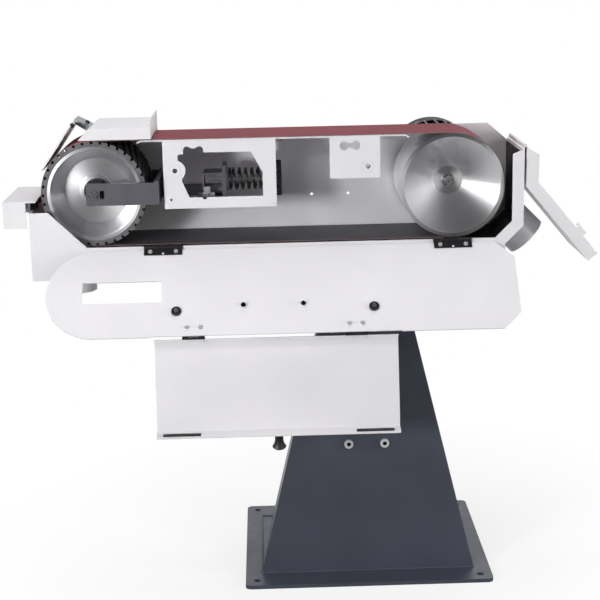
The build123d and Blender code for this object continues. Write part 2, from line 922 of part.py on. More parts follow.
def window_outline():
    """Cut-out in the left front plate: lobed corner, sloping end, a lug round the boss and a key notch."""
    shelf = window_top + lobe_rise
    side_left = window_left - lobe_side
    side_top = window_top - lobe_side_drop
    near_x = window_left + lobe_near
    far_x = window_left + lobe_far
    notch_x = (near_x + far_x) / 2
    body = outline(
        (near_x - lobe_radius, window_top),
        (window_right - window_slope, window_top),
        (window_right, window_top - window_corner),
        (window_right, window_bottom),
        (window_left + window_toe, window_bottom),
        (window_left, window_bottom + window_heel),
        (window_left, side_top),
        (near_x - lobe_radius, side_top),
    )
    body += rect((near_x - lobe_radius, far_x + lobe_radius), (boss_z, shelf))
    body += rect((near_x, far_x), (boss_z, shelf + lobe_radius))
    body += rect((side_left, notch_x), (boss_z, side_top - lobe_corner))
    body += rect((side_left + lobe_corner, notch_x), (boss_z, side_top))
    body += Pos(side_left + lobe_corner, side_top - lobe_corner) * Circle(lobe_corner)
    for x in (near_x, far_x):
        body += Pos(x, shelf) * Circle(lobe_radius)
    body += Pos(tracking_x, window_bottom) * Circle(key_notch)
    body -= Pos(notch_x, shelf + notch_rise) * Circle(notch_radius)
    return body - Pos(boss_left_x, boss_z) * Circle(lug_radius)


def bow_tie():
    shape = Rectangle(2 * bow_half, bow_height)
    for side in (-1, 1):
        shape += Pos(side * bow_half, 0) * Circle(bow_lobe)
    for side in (-1, 1):
        shape -= Pos(0, side * waist_reach) * Circle(waist_radius)
    return Pos(tab_left + bow_place, platen_top - bow_drop) * shape


def build_platen():
    rear_y = (belt_width - platen_sheet, belt_width)
    platen = front_plate(platen_top_sheet(), (platen_front, rear_y[1]))
    rear_x = (platen_left + platen_flange_inset, platen_right - platen_flange_inset)
    platen += front_plate(rect(rear_x, (platen_top - platen_flange, platen_top)), rear_y)
    large = rect((plate_left, plate_right), (plate_bottom, platen_top)) - window_outline()
    small = rect((tab_left, tab_right), (tab_bottom, platen_top)) - bow_tie()
    large -= Pos(boss_left_x, boss_z) * Circle(lock_hole_radius)
    small -= Pos(boss_right_x, boss_z) * Circle(lock_hole_radius)
    for across, up, radius in plate_holes:
        large -= Pos(plate_left + across, plate_bottom + up) * Circle(radius)
    platen += front_plate(large, (platen_front, plate_back))
    platen += front_plate(small, (platen_front, plate_back))
    keep("platen", platen)
    fixings = []
    nut_y = (plate_back, plate_back + boss_length)
    bore_y = (nut_y[0] - cut_margin, nut_y[1] + cut_margin)
    spacer_z = platen_top - platen_flange + platen_spacer_radius + platen_spacer_margin
    for x in (boss_left_x, boss_right_x):
        nut = rod_along_y(boss_radius, x, nut_y, boss_z) - rod_along_y(nut_bore, x, bore_y, boss_z)
        fixings.append(nut)
        fixings.append(rod_along_y(platen_spacer_radius, x, (rear_y[1], panel_front), spacer_z))
    keep("platen_fixings", *fixings)


def build_contact_wheel():
    rim = wheel_radius - tyre_thickness
    inner = rim - hub_rim
    back = belt_width
    cone = inner - hub_cone
    bore = axle_radius + hub_bore_gap
    boss = hub_recess - hub_boss_rise
    shoulder = boss + bearing_width
    hub_profile = [
        (bearing_radius, boss),
        (hub_boss_radius, boss),
        (hub_boss_radius + hub_edge / 2, hub_recess),
        (cone, hub_recess),
        (inner, hub_lead),
        (inner + hub_edge, 0),
        (rim, 0),
        (rim, back),
        (inner + hub_edge, back),
        (inner, back - hub_lead),
        (cone, back - hub_recess),
        (hub_boss_radius + hub_edge / 2, back - hub_recess),
        (hub_boss_radius, back - boss),
        (bearing_radius, back - boss),
        (bearing_radius, back - shoulder),
        (bore, back - shoulder),
        (bore, shoulder),
        (bearing_radius, shoulder),
    ]
    keep("contact_wheel_hub", turned_y(hub_profile))

    tyre = rod_along_y(wheel_radius, 0, (0, back), 0)
    tyre -= rod_along_y(rim, 0, (-cut_margin, back + cut_margin), 0)
    cutters = []
    slot_length = back / math.cos(math.radians(tyre_slot_turn)) + 4 * tyre_slot_width
    for place in range(tyre_slots):
        cutter = Box(tyre_slot_width, slot_length, 2 * tyre_slot_depth)
        lifted = Pos(0, back / 2, wheel_radius) * Rot(0, 0, tyre_slot_turn) * cutter
        cutters.append(Rot(0, place * 360 / tyre_slots, 0) * lifted)
    keep("contact_tyre", tyre - cutters)

    bearings = []
    for near in (boss, back - shoulder):
        far = near + bearing_width
        ring = rod_along_y(bearing_radius, 0, (near, far), 0)
        ring -= rod_along_y(axle_radius + running_clearance, 0, (near - cut_margin, far + cut_margin), 0)
        bearings.append(ring)
    keep("contact_bearings", *bearings)


def build_drive_wheel():
    face = wheel_radius - dish_rim
    back = belt_width
    hub_end = back - drive_hub_setback
    bolt_bore = drive_bolt_radius + running_clearance
    profile = [
        (bolt_bore, dish_depth),
        (drive_hub_radius, dish_depth),
        (face, dish_lip),
        (face, 0),
        (wheel_radius, 0),
        (wheel_radius, back),
        (face, back),
        (face, dish_lip + dish_wall),
        (drive_hub_radius, dish_depth + dish_wall),
        (drive_hub_radius, hub_end),
        (shaft_radius, hub_end),
        (shaft_radius, shaft_tip),
        (bolt_bore, shaft_tip),
    ]
    keep("drive_wheel", turned_y(profile, wheel_span))
    washer_front = dish_depth - drive_washer
    bolt = rod_along_y(drive_washer_radius, wheel_span, (washer_front, dish_depth), 0)
    head_front = washer_front - drive_bolt_head
    bolt += rod_along_y(drive_head_radius, wheel_span, (head_front, washer_front), 0)
    socket = extrude(RegularPolygon(drive_socket, 6), amount=drive_socket_depth + cut_margin)
    bolt -= Pos(wheel_span, head_front - cut_margin, 0) * Rot(-90, 0, 0) * socket
    bolt += rod_along_y(drive_bolt_radius, wheel_span, (washer_front, shaft_tip + drive_bolt_grip), 0)
    keep("drive_wheel_bolt", bolt)


# Motor
def motor_bolt_spots():
    spots = []
    for place in range(4):
        angle = math.radians(45 + 90 * place)
        x = wheel_span + motor_bolt_circle * math.cos(angle)
        spots.append((x, motor_bolt_circle * math.sin(angle)))
    return spots


def motor_rod(radius, y):
    return rod_along_y(radius, wheel_span, y, 0)


def motor_ring(outer, bore, y):
    return motor_rod(outer, y) - motor_rod(bore, (y[0] - cut_margin, y[1] + cut_margin))


def round_motor(shape, count):
    """Places copies of a shape drawn above the Y axis evenly round the motor's axis."""
    return [Pos(wheel_span, 0, 0) * Rot(0, place * 360 / count, 0) * shape for place in range(count)]


def build_motor():
    flange_y = (panel_rear, panel_rear + motor_flange_thickness)
    frame_y = (flange_y[1], motor_rear)
    seat = shaft_radius + motor_bearing_wall
    flange = motor_rod(motor_flange_radius, flange_y)
    flange += motor_rod(motor_spigot_radius, (panel_front, flange_y[0]))
    flange -= motor_rod(seat, (panel_front - cut_margin, flange_y[1] + cut_margin))
    bolts = []
    for x, z in motor_bolt_spots():
        shank = rod_along_y(flange_bolt_radius, x, (panel_front, flange_y[1]), z)
        flange -= shank
        head = extrude(RegularPolygon(flange_bolt_corner, 6), amount=flange_bolt_head)
        bolts.append(shank + Pos(x, panel_front, z) * Rot(90, 0, 0) * head)
    keep("motor_flange", flange)
    keep("flange_bolts", *bolts)

    frame = motor_rod(motor_core_radius, frame_y)
    fin_y = (frame_y[0] + motor_fin_start, frame_y[1] - motor_fin_end)
    fin_height = motor_fin_radius - motor_core_radius + motor_wall / 2
    fin = Box(motor_fin_thickness, fin_y[1] - fin_y[0], fin_height)
    fin = Pos(0, (fin_y[0] + fin_y[1]) / 2, motor_fin_radius - fin_height / 2) * fin
    frame += round_motor(fin, motor_fins)
    bore = motor_core_radius - motor_wall
    end_wall = frame_y[1] - motor_end_wall
    frame -= motor_rod(bore, (frame_y[0] - cut_margin, end_wall))
    frame -= motor_rod(seat, (end_wall - cut_margin, frame_y[1] + cut_margin))
    pad_x = (wheel_span + bore + motor_wall / 2, wheel_span + motor_fin_radius + terminal_pad_rise)
    pad_y = (frame_y[0] + terminal_start, frame_y[0] + terminal_start + terminal_length)
    frame += block(pad_x, pad_y, (-terminal_pad_height / 2, terminal_pad_height / 2))
    keep("motor_housing", frame)

    box_x = (pad_x[1], pad_x[1] + terminal_depth)
    box_y = (pad_y[0] - terminal_margin, pad_y[1] + terminal_margin)
    low = -terminal_height / 2
    box = fillet(block(box_x, box_y, (low, -low)).edges().filter_by(Axis.X), terminal_corner)
    gland_x = sum(box_x) / 2
    gland_y = sum(box_y) / 2
    box += rod_along_z(gland_radius, gland_x, gland_y, (low - gland_length, low))
    bore_z = (low - gland_length - cut_margin, low - gland_floor)
    keep("terminal_box", box - rod_along_z(gland_bore, gland_x, gland_y, bore_z))

    stator_y = (frame_y[0] + stator_start, frame_y[1] - stator_end)
    keep("motor_stator", motor_ring(bore, stator_bore, stator_y))
    race = shaft_radius + running_clearance
    keep("motor_bearings", *[motor_ring(seat, race, y) for y in (flange_y, (end_wall, frame_y[1]))])
    fan_y = (fan_place, fan_place + fan_width)
    shaft = motor_rod(shaft_radius, (shaft_tip, fan_y[1]))
    shaft += motor_rod(stator_bore - rotor_gap, (stator_y[0] + rotor_inset, stator_y[1] - rotor_inset))
    shaft -= motor_rod(drive_bolt_radius, (shaft_tip - cut_margin, shaft_tip + drive_bolt_grip + cut_margin))
    keep("motor_shaft", shaft)

    hub_radius = shaft_radius + fan_hub_wall
    disc_radius = cowl_radius - fan_disc_gap
    fan = motor_rod(hub_radius, fan_y) + motor_rod(disc_radius, (fan_y[0], fan_y[0] + fan_disc))
    blade = Box(fan_blade, fan_width, disc_radius - hub_radius)
    blade_height = (disc_radius + hub_radius) / 2 - cut_margin
    fan += round_motor(Pos(0, sum(fan_y) / 2, blade_height) * blade, fan_blades)
    fan -= motor_rod(shaft_radius, (fan_y[0] - cut_margin, fan_y[1] + cut_margin))
    keep("motor_fan", fan)

    cowl_y = (motor_rear - cowl_overlap, motor_rear - cowl_overlap + cowl_length)
    cowl = motor_rod(cowl_radius, cowl_y)
    cowl = fillet(cowl.faces().sort_by(Axis.Y)[-1].edges(), cowl_round)
    hollow = motor_rod(cowl_radius - cowl_wall, (cowl_y[0] - cut_margin, cowl_y[1] - cowl_wall))
    cowl -= fillet(hollow.faces().sort_by(Axis.Y)[-1].edges(), cowl_round - cowl_wall)
    opening = extrude(SlotOverall(cowl_slot_length, cowl_slot_width), amount=4 * cowl_wall, both=True)
    for ring_radius, count in cowl_slot_rings:
        cowl -= round_motor(Pos(0, cowl_y[1], ring_radius) * Rot(90, 0, 0) * opening, count)
    keep("fan_cowl", cowl)


# Tension gear
def build_tension_box():
    wall_top = platen_top - platen_sheet
    wall_rear = belt_width - platen_sheet
    notch_z = platen_top - box_notch
    wall = outline(
        (plate_back, plate_bottom),
        (panel_front, plate_bottom),
        (panel_front, notch_z),
        (wall_rear, notch_z),
        (wall_rear, wall_top),
        (plate_back, wall_top),
    )
    left_x = (plate_left, plate_left + sheet)
    right_x = (plate_right - sheet, plate_right)
    back_y = (panel_front - sheet, panel_front)
    box = block((plate_left, plate_right), back_y, (plate_bottom, plate_bottom + box_back_height))
    for x in (left_x, right_x):
        box += side_plate(wall, x)
    left_sleeve = (plate_left, plate_left + bush_length)
    left_flange = (left_x[1], left_x[1] + bush_flange)
    right_sleeve = (right_x[0] - seat_thickness, plate_right)
    right_flange = (right_x[0] - seat_thickness, right_x[0])
    bushes = []
    for radius, z, sleeve, flange in (
        (draw_bar_radius, draw_bar_z, left_sleeve, left_flange),
        (rod_radius, rod_z, right_sleeve, right_flange),
    ):
        bush = rod_along_x(radius + bush_wall, sleeve, rod_y, z)
        box -= bush
        bush += rod_along_x(spring_radius, flange, rod_y, z)
        bore_x = (sleeve[0] - cut_margin, sleeve[1] + cut_margin)
        bushes.append(bush - rod_along_x(radius + running_clearance, bore_x, rod_y, z))
    keep("tension_box", box)
    keep("rod_bushes", *bushes)


def build_fork():
    arm = rect((fork_left, fork_right), (-fork_height / 2, fork_height / 2))
    slot = rect(fork_slot_x, (-fork_slot_height / 2, fork_slot_height / 2))
    fork = front_plate(arm - Circle(axle_tip_radius) - slot, (fork_front, -fork_front_gap))
    fork += front_plate(arm - Circle(axle_radius), (fork_rear, fork_rear + fork_plate))
    cross_x = (fork_right - fork_plate, fork_right)
    cross_y = (fork_front, fork_rear + fork_plate)
    fork += block(cross_x, cross_y, (-fork_height / 2, fork_height / 2 + fork_cross_rise))
    fork += rod_along_x(draw_bar_radius, (cross_x[1], carriage_x[0]), rod_y, draw_bar_z)
    keep("tension_fork", fork)

    boss = hub_recess - hub_boss_rise
    web = (boss - moving_gap, belt_width - boss + moving_gap)
    axle = rod_along_y(axle_tip_radius, 0, (fork_front - axle_stub, -fork_front_gap), 0)
    axle += rod_along_y(axle_radius, 0, (-fork_front_gap, fork_rear + fork_plate), 0)
    for spacer in ((-fork_front_gap, web[0]), (web[1], fork_rear)):
        axle += rod_along_y(spacer_radius, 0, spacer, 0)
    for collar in ((web[0] - collar_length, web[0]), (web[1], web[1] + collar_length)):
        axle += rod_along_y(collar_radius, 0, collar, 0)
    keep("contact_axle", axle)


def build_tension_rod():
    knob_x = plate_right + moving_gap
    rod_end = knob_x + knob_thickness
    keep("tension_rod", rod_along_x(rod_radius, (carriage_x[0], rod_end), rod_y, rod_z))

    depth = (rod_y - carriage_depth / 2, rod_y + carriage_depth / 2)
    line = [
        (carriage_left, carriage_bottom + carriage_hook),
        (carriage_left, carriage_top),
        (carriage_x[0], carriage_top),
    ]
    foot_x = carriage_left - carriage_foot
    carriage = front_plate(folded_sheet(line, -carriage_sheet), depth)
    carriage += block(carriage_x, depth, (carriage_bottom, carriage_plate_top))
    carriage += block((foot_x, carriage_x[1]), depth, (carriage_bottom, carriage_bottom + carriage_sheet))
    carriage -= rod_along_x(rod_radius, (carriage_x[0], carriage_x[1] + cut_margin), rod_y, rod_z)
    carriage -= rod_along_x(draw_bar_radius, (foot_x, carriage_x[0]), rod_y, draw_bar_z)
    keep("tension_carriage", carriage)
    seat = rod_along_x(spring_radius + seat_rim, (carriage_x[1], spring_start), rod_y, rod_z)
    seat -= rod_along_x(rod_radius, (carriage_x[1] - cut_margin, spring_start + cut_margin), rod_y, rod_z)
    keep("spring_seat", seat)
    build_tracking(depth[0])

    lobe_place = knob_radius - knob_lobe_radius
    lobes = Circle(lobe_place)
    for place in range(knob_lobes):
        lobes += Rot(0, 0, place * 360 / knob_lobes) * (Pos(lobe_place, 0) * Circle(knob_lobe_radius))
    disc = extrude(lobes, amount=knob_thickness)
    disc -= Cylinder(rod_radius + running_clearance, 4 * knob_thickness)
    keep("tension_knob", Pos(knob_x, rod_y, rod_z) * Rot(0, 90, 0) * disc)


def build_tracking(front):
    """Tracking plate on the carriage's front and its screw."""
    bar_x = (carriage_left - tracking_overhang, carriage_left - tracking_overhang + tracking_width)
    bar_y = (front - tracking_sheet, front)
    bar_top = carriage_bottom + tracking_bar_height
    middle = tracking_x
    bar = rect(bar_x, (carriage_bottom, bar_top))
    stem_x = (middle + tracking_stem[0], middle + tracking_stem[1])
    bar += rect(stem_x, (bar_top, bar_top + tracking_stem_height))
    screw_z = carriage_bottom + tracking_screw_rise
    bar -= Pos(middle, screw_z) * Circle(tracking_screw_radius + running_clearance)
    keep("tracking_plate", front_plate(bar, bar_y))
    head_rear = bar_y[0] - tracking_head_gap
    head_front = head_rear - tracking_head
    screw = rod_along_y(tracking_head_radius, middle, (head_front, head_rear), screw_z)
    socket = extrude(RegularPolygon(tracking_socket, 6), amount=tracking_socket_depth + cut_margin)
    screw -= Pos(middle, head_front - cut_margin, screw_z) * Rot(-90, 0, 0) * socket
    screw += rod_along_y(tracking_screw_radius, middle, (head_rear - cut_margin, bar_y[1]), screw_z)
    keep("tracking_screw", screw)


def coil_point(angle, radius, pitch):
    return Vector(pitch * angle / (2 * math.pi), radius * math.cos(angle), radius * math.sin(angle))


def coil_direction(angle, radius, pitch):
    along = Vector(pitch / (2 * math.pi), -radius * math.sin(angle), radius * math.cos(angle))
    return along.normalized()


def biarc(start, start_way, end, end_way):
    """Two arcs that meet smoothly, from one point and direction to the next."""
    across = end - start
    both = start_way + end_way
    spare = 2 * (1 - start_way.dot(end_way))
    lead = across.dot(both)
    reach = (math.sqrt(lead * lead + spare * across.dot(across)) - lead) / spare
    first = start + start_way * reach
    last = end - end_way * reach
    middle = (first + last) * 0.5
    way = (last - first).normalized()
    return [TangentArc(start, middle, tangent=start_way), TangentArc(middle, end, tangent=way)]


def build_spring():
    radius = spring_radius - spring_wire / 2
    room = spring_end - spring_start - spring_wire - 4 * running_clearance
    end_lead = spring_wire / (2 * math.pi * radius)
    pitch = room / (spring_turns + 2 * end_lead)
    steps = spring_turns * 4
    edges = []
    first_way = coil_direction(0, radius, pitch)
    start = coil_point(0, radius, pitch)
    edges.append(Line(start - first_way * spring_wire, start))
    angle = 0.0
    for step in range(steps):
        following = (step + 1) * math.pi / 2
        ends = [coil_point(a, radius, pitch) for a in (angle, following)]
        ways = [coil_direction(a, radius, pitch) for a in (angle, following)]
        edges += biarc(ends[0], ways[0], ends[1], ways[1])
        angle = following
    finish = coil_point(angle, radius, pitch)
    last_way = coil_direction(angle, radius, pitch)
    edges.append(Line(finish, finish + last_way * spring_wire))
    path = Wire(edges)
    section = Plane(origin=start - first_way * spring_wire, z_dir=first_way) * Circle(spring_wire / 2)
    spring = sweep(section, path=path)
    place = Pos(spring_start + spring_wire / 2 + 2 * running_clearance + end_lead * pitch, rod_y, rod_z)
    keep("tension_spring", place * spring)
    samples = [coil_point(math.radians(a), radius, pitch) for a in range(0, 360 * spring_turns, 10)]
    least = min(
        (one - other).length - spring_wire
        for place_one, one in enumerate(samples)
        for other in samples[place_one + 18:]
    )
    print("spring pitch %.2f mm, least gap to itself %.2f mm" % (pitch, least))


# Hinged covers
def leaf_pair(axis_y, axis_z, radius, x, leaf_y, leaf_z, knuckles):
    """One leaf with the knuckles that it carries, before its pin or bore is made."""
    leaf = block(x, leaf_y, leaf_z)
    for knuckle in knuckles:
        leaf += rod_along_x(radius, knuckle, axis_y, axis_z)
    return leaf


def thirds(x, gap):
    width = (x[1] - x[0]) / 3
    outer = [(x[0], x[0] + width - gap), (x[1] - width + gap, x[1])]
    return outer, [(x[0] + width, x[1] - width)]


def build_hinge(x, axis, radius, fixed_leaf, moving_leaf):
    """Butt hinge along X: the fixed leaf holds the pin, and the moving leaf turns on it."""
    outer, inner = thirds(x, moving_gap)
    axis_y, axis_z = axis
    pin_radius = radius * 0.5
    fixed = leaf_pair(axis_y, axis_z, radius, x, fixed_leaf[0], fixed_leaf[1], outer)
    moving = leaf_pair(axis_y, axis_z, radius, x, moving_leaf[0], moving_leaf[1], inner)
    room = radius + moving_gap
    for knuckle in inner:
        fixed -= rod_along_x(room, (knuckle[0] - moving_gap, knuckle[1] + moving_gap), axis_y, axis_z)
    for knuckle in outer:
        moving -= rod_along_x(room, (knuckle[0] - cut_margin, knuckle[1] + cut_margin), axis_y, axis_z)
    for knuckle in inner:
        moving += rod_along_x(radius, knuckle, axis_y, axis_z)
    fixed += rod_along_x(pin_radius, x, axis_y, axis_z)
    bore_x = (x[0] - cut_margin, x[1] + cut_margin)
    moving -= rod_along_x(pin_radius + running_clearance, bore_x, axis_y, axis_z)
    return fixed, moving


def to_open_door(shape):
    return swung(shape, door_pivot, Rot(door_open, 0, 0))


def to_hanging_flap(shape):
    return to_open_door(swung(shape, flap_pivot, Rot(flap_fold, 0, 0)))


def door_outline():
    low = door_axis_z + door_edge_gap
    radius = (door_top - low) / 2
    centre_x = door_left + radius
    body = outline(
        (centre_x, low),
        (door_right - corner_cut, low),
        (door_right, low + corner_cut),
        (door_right, door_top - corner_cut),
        (door_right - corner_cut, door_top),
        (centre_x, door_top),
    )
    face = body + Pos(centre_x, (door_top + low) / 2) * Circle(radius)
    face -= rect((slot_left, slot_left + slot_length), (slot_z - slot_height / 2, slot_z + slot_height / 2))
    notch_x = (flap_left - door_notch_margin, flap_right + door_notch_margin)
    face -= rect(notch_x, (door_top - door_notch / 2, door_top + cut_margin))
    return face


def build_door():
    """Door with its leaves, screws, handle and locks; returns the flap's own hinge leaves."""
    door = front_plate(door_outline(), (door_outer, door_inner))
    frame_leaves = []
    door_leaves = []
    screws = []
    axis = (door_axis_y, door_axis_z)
    fixed_leaf = (
        (front_plane - door_leaf_sheet, front_plane),
        (floor_under - floor_lip + door_leaf_sheet, door_axis_z),
    )
    moving_leaf = (
        (door_inner, door_inner + door_leaf_sheet),
        (door_axis_z, door_axis_z + door_leaf_height),
    )
    head_y = (moving_leaf[0][1], moving_leaf[0][1] + door_screw_head)
    head_z = door_axis_z + door_leaf_height * door_screw_share
    for x in door_hinge_places:
        length = (x - door_leaf_length / 2, x + door_leaf_length / 2)
        fixed, moving = build_hinge(length, axis, door_barrel_radius, fixed_leaf, moving_leaf)
        room_x = (length[0] - cut_margin, length[1] + cut_margin)
        door -= rod_along_x(door_barrel_radius + moving_gap, room_x, *axis)
        frame_leaves.append(fixed)
        door_leaves.append(moving)
        for spot in (length[0] + door_screw_inset, length[1] - door_screw_inset):
            screws.append(rod_along_y(door_screw_radius, spot, head_y, head_z))
    keep("door_frame_leaves", *frame_leaves)

    through = (door_outer - cut_margin, door_inner + cut_margin)
    handle_xs = (handle_x - handle_spacing / 2, handle_x + handle_spacing / 2)
    build_handle(handle_xs)
    for x in handle_xs:
        nut = Rot(-90, 0, 0) * extrude(RegularPolygon(handle_nut_corner, 6), amount=handle_nut)
        stud = rod_along_y(handle_stud, x, (door_outer, door_inner + handle_stud_reach), handle_z)
        screws.append(Pos(x, door_inner, handle_z) * nut + stud)
        door -= rod_along_y(handle_stud, x, through, handle_z)
    for x in (boss_left_x, boss_right_x):
        door -= rod_along_y(lock_thread_radius + running_clearance, x, through, boss_z)
    build_locks()

    flap_hinge_leaves = []
    for fixed, moving in flap_leaves():
        door_leaves.append(fixed)
        flap_hinge_leaves.append(to_hanging_flap(moving))
    screw_z = door_top - flap_screw_drop
    for place in flap_hinge_places:
        for spot in (place - flap_screw_spread, place + flap_screw_spread):
            nut = Rot(-90, 0, 0) * extrude(RegularPolygon(flap_nut_corner, 6), amount=flap_nut)
            stud = rod_along_y(flap_stud, spot, (door_outer - flap_leaf_sheet, door_inner), screw_z)
            screws.append(Pos(spot, door_inner, screw_z) * nut + stud)
            door -= rod_along_y(flap_stud, spot, through, screw_z)
    keep("front_door", to_open_door(door))
    keep("door_screws", *[to_open_door(screw) for screw in screws])
    keep("door_leaves", *[to_open_door(leaf) for leaf in door_leaves])
    return flap_hinge_leaves


def build_handle(handle_xs):
    bow = FilletPolyline(
        (handle_xs[0], door_outer, handle_z),
        (handle_xs[0], door_outer - handle_reach, handle_z),
        (handle_xs[1], door_outer - handle_reach, handle_z),
        (handle_xs[1], door_outer, handle_z),
        radius=handle_bend,
    )
    section = Plane(origin=(handle_xs[0], door_outer, handle_z), z_dir=(0, -1, 0)) * Circle(handle_rod)
    keep("door_handle", to_open_door(sweep(section, path=bow)))


def build_locks():
    """Captive lock screws, drawn back to their open stop, and the discs that hold them in the door."""
    grommets = []
    disc_y = (door_inner, door_inner + lock_disc)
    grip_rear = door_outer - lock_travel - moving_gap
    grip_y = (grip_rear - lock_grip_length, grip_rear)
    for name, x in (("door_lock_left", boss_left_x), ("door_lock_right", boss_right_x)):
        grommet = rod_along_y(lock_disc_radius, x, disc_y, boss_z)
        grommet = fillet(grommet.faces().sort_by(Axis.Y)[-1].edges(), lock_disc_edge)
        bore_y = (disc_y[0] - cut_margin, disc_y[1] + cut_margin)
        grommet -= rod_along_y(lock_thread_radius + running_clearance, x, bore_y, boss_z)
        grommets.append(to_open_door(grommet))
        grip = rod_along_y(lock_grip_radius, x, grip_y, boss_z)
        grip = fillet(grip.faces().sort_by(Axis.Y)[0].edges(), lock_grip_edge)
        shank = rod_along_y(lock_thread_radius, x, (grip_rear, door_inner + lock_tip), boss_z)
        keep(name, to_open_door(grip + shank))
    keep("lock_grommets", *grommets)


def flap_leaves():
    """Pairs of door leaf and flap leaf for each flap hinge, closed."""
    pairs = []
    axis = (flap_axis_y, flap_axis_z)
    leaf_y = (door_outer - flap_leaf_sheet, door_outer)
    hole_y = (leaf_y[0] - cut_margin, leaf_y[1] + cut_margin)
    fixed_leaf = (leaf_y, (flap_axis_z - flap_door_leaf, flap_axis_z - flap_leaf_gap))
    moving_leaf = (leaf_y, (flap_axis_z + flap_leaf_gap, flap_axis_z + flap_cover_leaf))
    for place in flap_hinge_places:
        length = (place - flap_leaf_length / 2, place + flap_leaf_length / 2)
        fixed, moving = build_hinge(length, axis, flap_barrel_radius, fixed_leaf, moving_leaf)
        for spot in (place - flap_screw_spread, place + flap_screw_spread):
            fixed -= rod_along_y(flap_stud, spot, hole_y, door_top - flap_screw_drop)
        pairs.append((fixed, moving))
    return pairs


def flap_section():
    """Closed section with Y across and Z up: front flange, top and rear lip."""
    top = door_top + flap_rise
    fall = math.radians(flap_lip_bend)
    rear = panel_front - flap_rear_gap - flap_lip * math.cos(fall)
    lip_end = (rear + flap_lip * math.cos(fall), top - flap_lip * math.sin(fall))
    line = [
        (door_outer, flap_axis_z + door_notch / 2),
        (door_outer, top),
        (rear, top),
        lip_end,
    ]
    return line, folded_sheet(line, -flap_sheet)


def build_flap(hinge_leaves):
    line, section = flap_section()
    flap = side_plate(section, (flap_left, flap_right))
    keep("cover_flap", to_hanging_flap(flap))
    keep("flap_leaves", *hinge_leaves)

    lip_start = Vector(*line[2])
    lip_way = (Vector(*line[3]) - lip_start).normalized()
    inward = Vector(lip_way.Y, -lip_way.X)
    inner = lip_start + lip_way * (flap_lip * buffer_place) + inward * flap_sheet
    buffers = []
    angle = math.degrees(math.atan2(lip_way.Y, lip_way.X))
    for x in (flap_left + buffer_inset, flap_right - buffer_inset - buffer_length):
        pad = Box(buffer_length, flap_lip * buffer_share, buffer_thickness)
        spot = inner + inward * (buffer_thickness / 2)
        pad = Pos(x + buffer_length / 2, spot.X, spot.Y) * Rot(angle, 0, 0) * pad
        buffers.append(to_hanging_flap(pad))
    keep("flap_buffers", *buffers)

    radius = flap_knob_radius
    length = flap_knob_length
    profile = make_face(
        Polyline((0, 0), (radius * 0.62, 0), (radius * 0.6, length * 0.4))
        + Spline((radius * 0.6, length * 0.4), (radius * 0.72, length * 0.66), (radius, length * 0.9))
        + Polyline((radius, length * 0.9), (radius * 0.86, length * 0.97), (0, length), (0, 0))
    )
    knob = revolve(Plane.XZ * profile, axis=Axis.Z)
    outer = lip_start + lip_way * (flap_lip * flap_knob_place)
    middle_x = (flap_left + flap_right) / 2
    way = Vector(0, -inward.X, -inward.Y)
    spot = Plane(origin=(middle_x, outer.X, outer.Y), x_dir=(1, 0, 0), z_dir=way)
    keep("flap_knob", to_hanging_flap(spot * knob))


def to_open_hood(shape):
    return swung(shape, hood_pivot, Rot(0, hood_open, 0))


